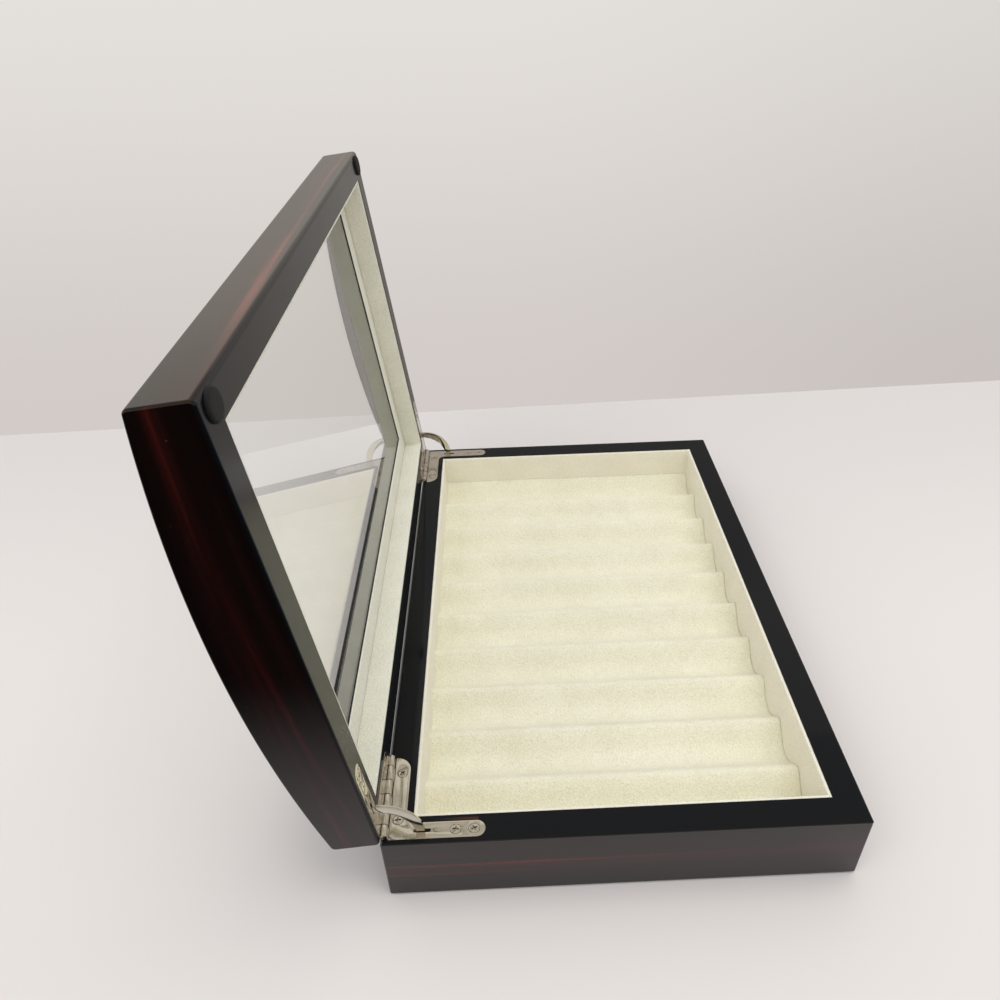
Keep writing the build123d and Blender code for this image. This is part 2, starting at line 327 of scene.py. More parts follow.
class NodeSheet:
    """Lays out the nodes of one material or world."""

    def __init__(self, tree: bpy.types.NodeTree) -> None:
        """Empties the tree.

        Args:
            tree: The node tree to fill.
        """
        self.tree = tree
        tree.nodes.clear()

    def add(self, kind: str, settings: dict | None = None, **inputs: object) -> bpy.types.Node:
        """Adds a node.

        Args:
            kind: Blender's name of the node type.
            settings: Properties of the node.
            **inputs: Values or sockets for its inputs, with _ for a space.

        Returns:
            The node.
        """
        node = self.tree.nodes.new(kind)
        for name, value in (settings or {}).items():
            setattr(node, name, value)
        for name, value in inputs.items():
            self.feed(node.inputs[name.replace("_", " ")], value)
        return node

    def feed(self, socket: bpy.types.NodeSocket, value: object) -> None:
        """Sets an input to a value, or joins a socket to it."""
        if isinstance(value, bpy.types.NodeSocket):
            self.tree.links.new(value, socket)
        elif socket.type == "RGBA":
            socket.default_value = (*value, 1.0)
        else:
            socket.default_value = value

    def math(
        self, operation: str, first: object, second: object = 0.0, clamp: bool = False
    ) -> bpy.types.NodeSocket:
        """Adds a Math node.

        Args:
            operation: What it does.
            first: Its first value or socket.
            second: Its second value or socket.
            clamp: Keeps the result from 0 to 1.

        Returns:
            Its result.
        """
        node = self.add("ShaderNodeMath", {"operation": operation, "use_clamp": clamp})
        self.feed(node.inputs[0], first)
        self.feed(node.inputs[1], second)
        return node.outputs[0]

    def plus(self, first: object, second: object, clamp: bool = False) -> bpy.types.NodeSocket:
        """The sum of two values or sockets."""
        return self.math("ADD", first, second, clamp)

    def minus(self, first: object, second: object, clamp: bool = False) -> bpy.types.NodeSocket:
        """The first value or socket less the second."""
        return self.math("SUBTRACT", first, second, clamp)

    def times(self, first: object, second: object) -> bpy.types.NodeSocket:
        """The product of two values or sockets."""
        return self.math("MULTIPLY", first, second)

    def bell(self, off: object, width: float) -> bpy.types.NodeSocket:
        """1 where the value is 0, falling off to both sides over a width."""
        share = self.math("DIVIDE", off, width)
        return self.math("EXPONENT", self.times(self.times(share, share), -1.0))

    def blend(self, share: object, first: object, second: object) -> bpy.types.NodeSocket:
        """Mixes two colours.

        Args:
            share: How much of the second, a value or a socket.
            first: First colour.
            second: Second colour.

        Returns:
            The mixed colour.
        """
        node = self.add("ShaderNodeMix", {"data_type": "RGBA"})
        self.feed(node.inputs[0], share)
        self.feed(node.inputs[6], first)
        self.feed(node.inputs[7], second)
        return node.outputs[2]

    def ramp(self, value: object, low: float, high: float) -> bpy.types.NodeSocket:
        """A smooth rise from 0 to 1 while the value goes from low to high."""
        node = self.add("ShaderNodeMapRange", {"interpolation_type": "SMOOTHSTEP"})
        for index, given in enumerate((value, low, high, 0.0, 1.0)):
            self.feed(node.inputs[index], given)
        return node.outputs[0]

    def noise(self, where: object, scale: float, detail: float = 2.0) -> bpy.types.NodeSocket:
        """A noise from 0 to 1 at a scale given in waves per metre."""
        return self.add("ShaderNodeTexNoise", Vector=where, Scale=scale, Detail=detail).outputs["Fac"]

    def stretched(self, where: object, scales: Point) -> bpy.types.NodeSocket:
        """The coordinates times a factor for each axis."""
        node = self.add("ShaderNodeVectorMath", {"operation": "MULTIPLY"})
        self.feed(node.inputs[0], where)
        self.feed(node.inputs[1], scales)
        return node.outputs[0]

    def bump(self, height: object, depth: float, strength: float = 1.0) -> bpy.types.NodeSocket:
        """A normal from a height that swings by a depth in metres."""
        node = self.add("ShaderNodeBump", Height=height, Distance=depth, Strength=strength)
        return node.outputs["Normal"]

    def in_reflection(self) -> bpy.types.NodeSocket:
        """1 for a ray that a surface reflects, and 0 for one that comes through glass or straight."""
        ray = self.add("ShaderNodeLightPath").outputs
        return self.minus(ray["Is Glossy Ray"], ray["Is Transmission Ray"], True)

    def finish(self, shader: bpy.types.NodeSocket) -> None:
        """Joins the shader to the material's output."""
        output = self.add("ShaderNodeOutputMaterial")
        self.feed(output.inputs["Surface"], shader)


class Finish:
    """A finish that is made into a material once and then shared."""

    name: str

    def lay_out(self, sheet: NodeSheet) -> None:
        """Fills the material's nodes."""
        raise NotImplementedError

    def material(self) -> bpy.types.Material:
        """The material of this finish.

        Returns:
            The material, made at the first call.
        """
        found = bpy.data.materials.get(self.name)
        if found is None:
            found = bpy.data.materials.new(self.name)
            found.use_nodes = True
            self.lay_out(NodeSheet(found.node_tree))
        return found


@dataclass(frozen=True)
class Streak:
    """One red streak in the veneer.

    Its height over the table is the one at the piece's ends, and its tilt is how much it rises along it.
    Its strength falls off along the piece with the distance from its middle.
    """

    height_mm: float
    width_mm: float
    strength: float
    tone: Colour = (0.23, 0.010, 0.010)
    middle_mm: float = 0.0
    spread_mm: float = 1000.0
    tilt: float = 0.0


@dataclass(frozen=True)
class BareEdge:
    """A strip of rim beside a hinge leaf where the lacquer has left the wood bare."""

    from_end: float
    width: float
    from_rear: float
    reach: float
    tone: Colour = (0.062, 0.026, 0.012)
    strength: float = 0.9
    softness: float = 0.15 * MM


@dataclass(frozen=True)
class Grain:
    """One layer of stripes: how a noise is stretched, how fine it is, and which part of it shows."""

    stretch: Point
    detail: float
    shows_from: float
    shows_fully: float

    def laid(self, sheet: NodeSheet, where: bpy.types.NodeSocket) -> bpy.types.NodeSocket:
        """Where the stripes show, from 0 to 1."""
        mottle = sheet.noise(sheet.stretched(where, self.stretch), 1.0, self.detail)
        return sheet.ramp(mottle, self.shows_from, self.shows_fully)


@dataclass(frozen=True)
class Veneer(Finish):
    """Near-black striped ebony veneer under gloss lacquer, with black lacquered rims.

    Heights are measured up the shut case, so the lid's rails turn their coordinates back first.
    """

    name: str
    runs_along_x: bool
    rim_height: float
    rim_is_above: bool
    streaks: tuple[Streak, ...]
    half_along: float
    half_across: float
    arch: float = 0.0
    slant: float = 0.0
    back_turn: float = 0.0
    pin: Point = (0.0, 0.0, 0.0)
    window_border: float = 1.0
    window_gloss: float = 0.6
    bare_edge: BareEdge | None = None
    ground: Colour = (0.0036, 0.0016, 0.0012)
    stripe: Colour = (0.022, 0.0042, 0.0032)
    lacquer: Colour = (0.0030, 0.0040, 0.0060)
    dust: Colour = (0.2, 0.19, 0.18)
    lacquer_edge: float = 0.3 * MM
    rim_gloss: float = 0.42
    face_gloss: float = 1.0
    coat_roughness: float = 0.045
    wide_stripes: Grain = Grain((4, 90, 1), 2.0, 0.45, 0.75)
    fine_stripes: Grain = Grain((14, 620, 1), 3.0, 0.42, 0.7)
    fade_stretch: Point = (7, 160, 1)
    fade_gain: float = 1.9
    fade_start: float = -0.35
    lean_over_rim: float = 0.9
    waver: float = 4.0 * MM
    waver_waves: float = 9.0
    dust_waves: float = 900.0
    dust_cut: tuple[float, float] = (0.80, 0.84)
    dust_share: float = 0.3
    roughness: float = 0.3
    clouding: float = 0.15
    clouding_waves: float = 60.0
    swell_waves: float = 55.0
    swell_depth: float = 0.03 * MM

    def shut_place(self, sheet: NodeSheet) -> bpy.types.NodeSocket:
        """Coordinates of the surface when the case is shut."""
        place = sheet.add("ShaderNodeTexCoord").outputs["Object"]
        if not self.back_turn:
            return place
        rotate = sheet.add("ShaderNodeVectorRotate", {"rotation_type": "X_AXIS"}, Vector=place)
        sheet.feed(rotate.inputs["Center"], self.pin)
        sheet.feed(rotate.inputs["Angle"], self.back_turn)
        return rotate.outputs[0]

    def lay_out(self, sheet: NodeSheet) -> None:
        """Veneer, streaks, lacquered rim and window wall, then a gloss coat over all."""
        place = self.shut_place(sheet)
        x, y, z = sheet.add("ShaderNodeSeparateXYZ", Vector=place).outputs
        along, across = (x, y) if self.runs_along_x else (y, x)
        height = self.grain_height(sheet, place, along, z)
        colour = self.wood(sheet, along, across, height)
        into_face = sheet.times(sheet.minus(z, self.rim_height), -1 if self.rim_is_above else 1)
        painted = sheet.ramp(into_face, self.lacquer_edge, self.lacquer_edge * 0.3)
        inward = sheet.minus(self.half_across, sheet.math("ABSOLUTE", across))
        window = sheet.math("GREATER_THAN", inward, self.window_border)
        painted = sheet.math("MAXIMUM", painted, window)
        colour = sheet.blend(painted, colour, self.lacquer)
        if self.bare_edge:
            colour = sheet.blend(self.bare_share(sheet, painted, inward, y), colour, self.bare_edge.tone)
        dust = sheet.ramp(sheet.noise(place, self.dust_waves, 1.0), *self.dust_cut)
        clouding = sheet.noise(place, self.clouding_waves, 3.0)
        swell = sheet.noise(place, self.swell_waves, 2.0)
        surface = sheet.add(
            "ShaderNodeBsdfPrincipled",
            Base_Color=sheet.blend(sheet.times(dust, self.dust_share), colour, self.dust),
            Roughness=sheet.plus(sheet.times(clouding, self.clouding), self.roughness),
            Specular_IOR_Level=0.02,
            Coat_Weight=self.gloss(sheet, painted, window),
            Coat_Roughness=self.coat_roughness,
            Coat_IOR=1.5,
            Coat_Normal=sheet.bump(swell, self.swell_depth, 0.3),
        )
        sheet.finish(surface.outputs[0])

    def wood(
        self,
        sheet: NodeSheet,
        along: bpy.types.NodeSocket,
        across: bpy.types.NodeSocket,
        height: bpy.types.NodeSocket,
    ) -> bpy.types.NodeSocket:
        """Colour of the veneer with its stripes and its red streaks.

        Args:
            sheet: The material's sheet.
            along: Distance along the piece from its middle.
            across: Distance across the piece from the middle of the case.
            height: Height that the streaks keep to.

        Returns:
            The colour.
        """
        face = sheet.plus(height, sheet.times(across, self.lean_over_rim))
        grain = sheet.add("ShaderNodeCombineXYZ", X=along, Y=face, Z=0.0).outputs[0]
        wide = self.wide_stripes.laid(sheet, grain)
        fine = self.fine_stripes.laid(sheet, grain)
        stripes = sheet.times(wide, sheet.plus(sheet.times(fine, 0.6), 0.4))
        colour = sheet.blend(stripes, self.ground, self.stripe)
        fading = sheet.noise(sheet.stretched(grain, self.fade_stretch), 1.0, 1.0)
        fading = sheet.plus(sheet.times(fading, self.fade_gain), self.fade_start, True)
        for streak in self.streaks:
            off = sheet.minus(height, streak.height_mm * MM)
            if streak.tilt:
                off = sheet.minus(off, sheet.times(along, streak.tilt))
            fall = sheet.bell(off, streak.width_mm * MM)
            reach = sheet.bell(sheet.minus(along, streak.middle_mm * MM), streak.spread_mm * MM)
            share = sheet.times(sheet.times(fall, fading), streak.strength)
            share = sheet.times(share, sheet.plus(sheet.times(fine, 0.5), 0.6))
            colour = sheet.blend(sheet.times(share, reach), colour, streak.tone)
        return colour

    def gloss(
        self, sheet: NodeSheet, painted: bpy.types.NodeSocket, window: bpy.types.NodeSocket
    ) -> bpy.types.NodeSocket:
        """How glossy the coat is, which is less on the rim and least on the window's wall."""
        rim = sheet.times(painted, self.face_gloss - self.rim_gloss)
        dull = sheet.times(window, self.rim_gloss * (1 - self.window_gloss))
        return sheet.minus(sheet.minus(self.face_gloss, rim), dull)

    def grain_height(
        self,
        sheet: NodeSheet,
        place: bpy.types.NodeSocket,
        along: bpy.types.NodeSocket,
        z: bpy.types.NodeSocket,
    ) -> bpy.types.NodeSocket:
        """Height up the veneer, which wanders a little and rises with the arch of the lid.

        Args:
            sheet: The material's sheet.
            place: Coordinates on the shut case.
            along: Distance along the piece from its middle.
            z: Height on the shut case.

        Returns:
            The height that the streaks keep to.
        """
        waver = sheet.noise(sheet.stretched(place, (1, 1, 0.2)), self.waver_waves, 1.0)
        height = sheet.plus(z, sheet.times(sheet.minus(waver, 0.5), self.waver))
        if not self.arch:
            return height
        height = sheet.minus(height, sheet.times(along, self.slant))
        share = sheet.math("DIVIDE", along, self.half_along)
        rise = sheet.minus(1.0, sheet.times(share, share))
        return sheet.minus(height, sheet.times(rise, self.arch))

    def bare_share(
        self,
        sheet: NodeSheet,
        painted: bpy.types.NodeSocket,
        inward: bpy.types.NodeSocket,
        y: bpy.types.NodeSocket,
    ) -> bpy.types.NodeSocket:
        """How bare the rim is beside the hinge leaf.

        Args:
            sheet: The material's sheet.
            painted: Where the rim is.
            inward: Distance from the end face.
            y: Distance from the case's middle to the rear.

        Returns:
            A share from 0 to 1.
        """
        edge = self.bare_edge
        soft = edge.softness
        inner = edge.from_end + edge.width
        strip = sheet.minus(
            sheet.ramp(inward, edge.from_end, edge.from_end + soft),
            sheet.ramp(inward, inner - 3 * soft, inner),
        )
        forward = sheet.minus(self.half_along, y)
        tip = edge.from_rear + edge.reach
        run = sheet.minus(
            sheet.ramp(forward, edge.from_rear, tip - 0.2 * edge.reach),
            sheet.ramp(forward, tip - 5 * soft, tip),
        )
        return sheet.times(sheet.times(strip, run), sheet.times(painted, edge.strength))


@dataclass(frozen=True)
class Suede(Finish):
    """Ivory fine-napped suede cloth, with painted shade in the hollows of its pebbled nap and slight
    shading from handling.
    """

    name: str = "ivory_suede"
    pale: Colour = linear(252, 249, 229)
    deep: Colour = linear(228, 224, 198)
    pebble_waves: float = 1500.0
    pebble_depth: float = 0.3 * MM
    rubbed_waves: float = 55.0

    def lay_out(self, sheet: NodeSheet) -> None:
        """Pebbled nap with painted shade in its hollows, handling marks and a soft sheen."""
        place = sheet.add("ShaderNodeTexCoord").outputs["Object"]
        nap = sheet.noise(place, self.pebble_waves * 0.7, 3.0)
        rubbed = sheet.noise(place, self.rubbed_waves, 3.0)
        pebbles = sheet.add("ShaderNodeTexVoronoi", Vector=place, Scale=self.pebble_waves)
        height = sheet.minus(sheet.times(nap, 1.4), pebbles.outputs["Distance"])
        # The colour follows the nap's height, which paints shade into the pebbles' hollows, and the
        # rubbed handling marks.
        share = sheet.plus(sheet.times(height, 0.8), sheet.times(rubbed, 0.6), True)
        colour = sheet.blend(share, self.deep, self.pale)
        surface = sheet.add(
            "ShaderNodeBsdfPrincipled",
            Base_Color=colour,
            Roughness=0.95,
            Specular_IOR_Level=0.2,
            Sheen_Weight=0.18,
            Sheen_Roughness=0.5,
            Normal=sheet.bump(height, self.pebble_depth, 0.8),
        )
        sheet.finish(surface.outputs[0])


TRAY_SUEDE = Suede()
LINING_SUEDE = Suede("ivory_suede_lining", linear(254, 249, 234), linear(236, 230, 210))
# A darker copy of the lining suede for the lid's linings and ledge, as painted shade.
SHADED_LID_SUEDE = Suede("ivory_suede_lid_shaded", linear(242, 240, 225), linear(216, 214, 198))


@dataclass(frozen=True)
class Nickel(Finish):
    """Polished nickel plate with a warm cast, faint clouding and fine rubbing marks."""

    name: str = "polished_nickel"
    tone: Colour = (0.74, 0.705, 0.63)
    shade: Colour = (0.58, 0.545, 0.465)
    roughness: float = 0.11
    clouding: float = 0.12
    cloud_waves: float = 420.0
    mark_depth: float = 0.012 * MM

    def lay_out(self, sheet: NodeSheet) -> None:
        """Plate colour, clouding and fine scratches."""
        place = sheet.add("ShaderNodeTexCoord").outputs["Object"]
        cloud = sheet.noise(place, self.cloud_waves, 3.0)
        marks = sheet.noise(sheet.stretched(place, (1.0, 9.0, 9.0)), self.cloud_waves, 3.0)
        colour = sheet.blend(cloud, self.shade, self.tone)
        spread = sheet.plus(sheet.times(cloud, self.clouding), self.roughness - self.clouding / 2)
        surface = sheet.add(
            "ShaderNodeBsdfPrincipled",
            Base_Color=colour,
            Metallic=1.0,
            Roughness=spread,
            Normal=sheet.bump(marks, self.mark_depth, 0.3),
        )
        sheet.finish(surface.outputs[0])


@dataclass(frozen=True)
class ClearGlass(Finish):
    """Clear pane that lets the lamps through."""

    name: str = "clear_glass"
    tint: Colour = (0.985, 0.995, 0.983)

    def lay_out(self, sheet: NodeSheet) -> None:
        """Smooth glass, and a clear film for the rays that make shadows."""
        pane = sheet.add(
            "ShaderNodeBsdfPrincipled",
            Base_Color=self.tint,
            Roughness=0.0,
            IOR=1.5,
            Transmission_Weight=1.0,
        )
        clear = sheet.add("ShaderNodeBsdfTransparent", Color=self.tint)
        ray = sheet.add("ShaderNodeLightPath")
        mix = sheet.add("ShaderNodeMixShader")
        sheet.feed(mix.inputs[0], ray.outputs["Is Shadow Ray"])
        sheet.feed(mix.inputs[1], pane.outputs[0])
        sheet.feed(mix.inputs[2], clear.outputs[0])
        sheet.finish(mix.outputs[0])


@dataclass(frozen=True)
class Plain(Finish):
    """A plain mottled finish for rubber, felt, card and board."""

    name: str
    tone: Colour
    shade: Colour
    roughness: float
    mottle_waves: float
    relief: float

    def lay_out(self, sheet: NodeSheet) -> None:
        """Two mottled tones and a relief of the same grain."""
        place = sheet.add("ShaderNodeTexCoord").outputs["Object"]
        mottle = sheet.noise(place, self.mottle_waves, 4.0)
        surface = sheet.add(
            "ShaderNodeBsdfPrincipled",
            Base_Color=sheet.blend(mottle, self.shade, self.tone),
            Roughness=self.roughness,
            Specular_IOR_Level=0.4,
            Normal=sheet.bump(mottle, self.relief, 0.6),
        )
        sheet.finish(surface.outputs[0])


RUBBER = Plain("dark_rubber", (0.014, 0.014, 0.015), (0.010, 0.010, 0.011), 0.8, 700.0, 0.02 * MM)
FELT = Plain("black_felt", (0.02, 0.02, 0.021), (0.008, 0.008, 0.009), 0.95, 1500.0, 0.2 * MM)
FLOOR_BOARD = Plain("fibre_board", (0.2, 0.135, 0.08), (0.13, 0.085, 0.05), 0.8, 800.0, 0.05 * MM)
CARD_EDGE = Plain("black_card_edge", (0.012, 0.012, 0.012), (0.006, 0.006, 0.006), 0.5, 900.0, 0.02 * MM)


@dataclass(frozen=True)
class Table(Finish):
    """Pale table with painted shade towards the far side, which a reflection sees end a little way in
    front of the case's left side.
    """

    name: str = "pale_table"
    tone: Colour = linear(232, 226, 222)
    shaded_far_tone: Colour = linear(220, 215, 211)
    near: float = -0.05
    far: float = 0.28
    dark_from: float = -0.165
    dark_to: float = -0.29
    dark_tone: Colour = (0.004, 0.004, 0.004)

    def lay_out(self, sheet: NodeSheet) -> None:
        """A tone that falls off to the far side as painted shade, and dark beyond the near edge to a
        glossy ray.
        """
        place = sheet.add("ShaderNodeTexCoord").outputs["Object"]
        x = sheet.add("ShaderNodeSeparateXYZ", Vector=place).outputs[0]
        beyond = sheet.ramp(sheet.times(x, -1.0), -self.dark_from, -self.dark_to)
        # Painted shade: the tone darkens from near to far.
        tone = sheet.blend(sheet.ramp(x, self.near, self.far), self.tone, self.shaded_far_tone)
        tone = sheet.blend(sheet.times(sheet.in_reflection(), beyond), tone, self.dark_tone)
        surface = sheet.add(
            "ShaderNodeBsdfPrincipled",
            Base_Color=tone,
            Roughness=0.9,
            Specular_IOR_Level=0.1,
        )
        sheet.finish(surface.outputs[0])


@dataclass(frozen=True)
class PaleWall(Finish):
    """Pale wall behind the table, which glows at the tone written with painted shade low down and to the
    front, and is clear when seen from behind.
    """

    name: str = "pale_wall"
    low: Colour = linear(210, 203, 200)
    high: Colour = linear(231, 227, 222)
    rise: float = 0.40
    shade_from: float = 0.05
    shade_to: float = -0.40
    shade: float = 0.09
    mirrored_low: Colour = (0.71, 0.69, 0.66)
    mirrored: Colour = (0.97, 0.93, 0.87)
    mirrored_from: float = 0.24
    mirrored_to: float = 0.34

    def lay_out(self, sheet: NodeSheet) -> None:
        """A glowing tone with painted shade: it rises to the top and falls off to the front of the case,
        and reflections see it darker low down.
        """
        place = sheet.add("ShaderNodeTexCoord").outputs["Object"]
        _, y, z = sheet.add("ShaderNodeSeparateXYZ", Vector=place).outputs
        # Painted shade: the glow is darker low down and dims towards the front of the case.
        tone = sheet.blend(sheet.ramp(z, 0.0, self.rise), self.low, self.high)
        aside = sheet.ramp(sheet.times(y, -1.0), -self.shade_from, -self.shade_to)
        strength = sheet.minus(1.0, sheet.times(aside, self.shade))
        dimmed = sheet.add("ShaderNodeMix", {"data_type": "RGBA", "blend_type": "MULTIPLY"})
        level = sheet.ramp(z, self.mirrored_from, self.mirrored_to)
        mirrored = sheet.blend(level, self.mirrored_low, self.mirrored)
        for index, socket in ((0, sheet.in_reflection()), (6, tone), (7, mirrored)):
            sheet.feed(dimmed.inputs[index], socket)
        glow = sheet.add("ShaderNodeEmission", Color=dimmed.outputs[2], Strength=strength)
        clear = sheet.add("ShaderNodeBsdfTransparent")
        behind = sheet.add("ShaderNodeNewGeometry").outputs["Backfacing"]
        mix = sheet.add("ShaderNodeMixShader")
        for index, socket in enumerate((behind, glow.outputs[0], clear.outputs[0])):
            sheet.feed(mix.inputs[index], socket)
        sheet.finish(mix.outputs[0])


def dress(node: bpy.types.Object, finish: Finish) -> None:
    """Gives an object one finish on all its faces.

    Args:
        node: The object.
        finish: Its finish.
    """
    material = finish.material()
    if not node.material_slots:
        node.data.materials.append(material)
    for slot in node.material_slots:
        slot.material = material
    LOG.info("%s finished in %s", node.name, finish.name)


def mount(piece: bpy.types.Object, body: str, slot: str, *nodes: str) -> None:
    """Lets a new piece ride on a body in place of some nodes, and reports it.

    Args:
        piece: The new piece.
        body: The body that carries it.
        slot: The record's material slot, which is not used.
        *nodes: The nodes that it stands for.
    """
    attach(piece, body)
    if nodes:
        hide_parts(*nodes)
    LOG.info("%s on %s for %s", piece.name, body, ", ".join(nodes) or "no node")


@dataclass
class SuedeBoard:
    """A thin board wrapped in suede, as a lining of the walls."""

    name: str
    low: Vector
    high: Vector
    runs_along_x: bool
    cloth: Suede = TRAY_SUEDE
    edge: float = 0.45 * MM
    step: float = 4.0 * MM
    unevenness: float = 0.06 * MM
    swells_along: float = 40.0
    swells_up: float = 120.0

    def build(self) -> bpy.types.Object:
        """Sweeps the rounded section along the board, with slight swells in the cloth.

        Returns:
            The lining.
        """
        size = self.high - self.low
        middle = (self.low + self.high) / 2
        length = size.x if self.runs_along_x else size.y
        thickness = size.y if self.runs_along_x else size.x
        section = self.fine_section(thickness, size.z)
        own_place = middle.x + middle.y * 3
        count = max(2, round(length / self.step))
        rings = []
        for number in range(count + 1):
            run = length * (number / count - 0.5)
            ring = []
            for across, up in section:
                spot = Vector((run * self.swells_along, up * self.swells_up, own_place))
                swell = noise.noise(spot) * self.unevenness
                off = across - math.copysign(min(abs(swell), thickness / 4), across)
                place = (run, off, up) if self.runs_along_x else (-off, run, up)
                ring.append(middle + Vector(place))
            rings.append(ring)
        points, faces = loft(rings)
        piece = make_object(self.name, points, faces, 50.0)
        dress(piece, self.cloth)
        return piece

    def fine_section(self, thickness: float, height: float) -> list[tuple[float, float]]:
        """The board's section with extra points up its two faces.

        Args:
            thickness: Its thickness.
            height: Its height.

        Returns:
            The points of the section.
        """
        outline = rounded_rectangle(thickness, height, self.edge)
        section = []
        for index, here in enumerate(outline):
            after = outline[(index + 1) % len(outline)]
            section.append(here)
            gap = math.dist(here, after)
            pieces = max(1, round(gap / self.step))
            for part in range(1, pieces):
                share = part / pieces
                section.append(tuple(a + (b - a) * share for a, b in zip(here, after)))
        return section


@dataclass
class PenTray:
    """The padded tray: troughs from front to rear, with a fold of the suede along each ridge."""

    slot_count: int = 10
    slot_depth: float = 8.8 * MM
    slot_slope: float = math.radians(46)
    ridge_radius: float = 3.6 * MM
    fold_depth: float = 0.3 * MM
    fold_width: float = 0.7 * MM
    fold_offset: float = 2.3 * MM
    samples_per_slot: int = 48
    rows: int = 64
    end_rows: int = 5
    end_round: float = 0.8 * MM
    end_drop: float = 0.3 * MM
    rear_tuck: float = 0.6 * MM
    unevenness: float = 0.22 * MM
    broad_swells: Point = (30.0, 16.0, 0.3)
    small_swells: Point = (160.0, 90.0, 4.1)
    small_share: float = 0.3
    low: Vector = field(default_factory=lambda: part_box("pen_tray")[0])
    high: Vector = field(default_factory=lambda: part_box("pen_tray")[1])

    @property
    def pitch(self) -> float:
        """Distance from one ridge to the next."""
        return (self.high.x - self.low.x) / self.slot_count

    @property
    def trough_radius(self) -> float:
        """Radius of the troughs' bottom, which runs tangent into the slope below each ridge."""
        slope = math.tan(self.slot_slope)
        radii = (self.pitch / 2 * slope - self.slot_depth) / (1 / math.cos(self.slot_slope) - 1)
        return radii - self.ridge_radius

    def profile(self, x: float) -> float:
        """Height of the pad at a distance along the case.

        Args:
            x: Distance from the tray's left end.

        Returns:
            Height above the bottom of the troughs.
        """
        within = (x / self.pitch) % 1.0
        off = abs(within - 0.5) * self.pitch
        to_ridge = self.pitch / 2 - off
        from_fold = ((1 - within) * self.pitch - self.fold_offset) / self.fold_width
        fold = self.fold_depth * math.exp(-(from_fold**2))
        return self.plain_profile(off, to_ridge) - fold

    def plain_profile(self, off: float, to_ridge: float) -> float:
        """Height of the pad without the fold that runs along each ridge.

        Args:
            off: Distance from the middle of the trough.
            to_ridge: Distance from the ridge.

        Returns:
            Height above the bottom of the troughs.
        """
        trough_radius = self.trough_radius
        trough_reach = trough_radius * math.sin(self.slot_slope)
        ridge_reach = self.ridge_radius * math.sin(self.slot_slope)
        if off < trough_reach:
            return trough_radius - math.sqrt(trough_radius**2 - off**2)
        if to_ridge < ridge_reach:
            return self.slot_depth - self.ridge_radius + math.sqrt(self.ridge_radius**2 - to_ridge**2)
        start = trough_radius * (1 - math.cos(self.slot_slope))
        return start + (off - trough_reach) * math.tan(self.slot_slope)

    def height(self, x: float, y: float) -> float:
        """Height of the pad's top at a place, with its swells and its rounded front end.

        Args:
            x: Distance from the tray's left end.
            y: Distance from the tray's front end.

        Returns:
            Height in the frame.
        """
        drop = self.end_drop * max(0.0, 1 - y / self.end_round) ** 2
        broad = self.swell(x, y, self.broad_swells)
        small = self.swell(x, y, self.small_swells) * self.small_share
        return self.high.z - self.slot_depth + self.profile(x) - drop - abs(broad + small)

    def swell(self, x: float, y: float, waves: Point) -> float:
        """How far the padding is off its form at a place.

        Args:
            x: Distance from the tray's left end.
            y: Distance from the tray's front end.
            waves: Waves per metre along and across the case, and where the noise is cut.

        Returns:
            A distance either way.
        """
        return noise.noise(Vector((x * waves[0], y * waves[1], waves[2]))) * self.unevenness

    def build(self) -> bpy.types.Object:
        """Makes the pad's skin from its height at a grid of places.

        Returns:
            The tray.
        """
        across = self.slot_count * self.samples_per_slot
        length = self.high.x - self.low.x
        depth = self.high.y + self.rear_tuck - self.low.y
        rings = []
        for column in range(across + 1):
            x = length * column / across
            ring = [Vector((self.low.x + x, self.low.y, self.low.z))]
            for row in range(self.rows + 1):
                y = self.row_place(row, depth)
                ring.append(Vector((self.low.x + x, self.low.y + y, self.height(x, y))))
            ring.append(Vector((self.low.x + x, self.low.y + depth, self.low.z)))
            rings.append(ring)
        points, faces = loft(rings)
        tray = make_object("suede_pen_tray", points, faces, 65.0)
        dress(tray, TRAY_SUEDE)
        mount(tray, "base", "suede", "pen_tray")
        return tray

    def row_place(self, row: int, depth: float) -> float:
        """Place of a row of points, with rows closer together at the ends of the tray.

        Args:
            row: Number of the row.
            depth: Depth of the tray.

        Returns:
            Distance from the front end.
        """
        if row <= self.end_rows:
            return self.end_round * row / self.end_rows
        if row >= self.rows - self.end_rows:
            return depth - self.end_round * (self.rows - row) / self.end_rows
        share = (row - self.end_rows) / (self.rows - 2 * self.end_rows)
        return self.end_round + (depth - 2 * self.end_round) * share


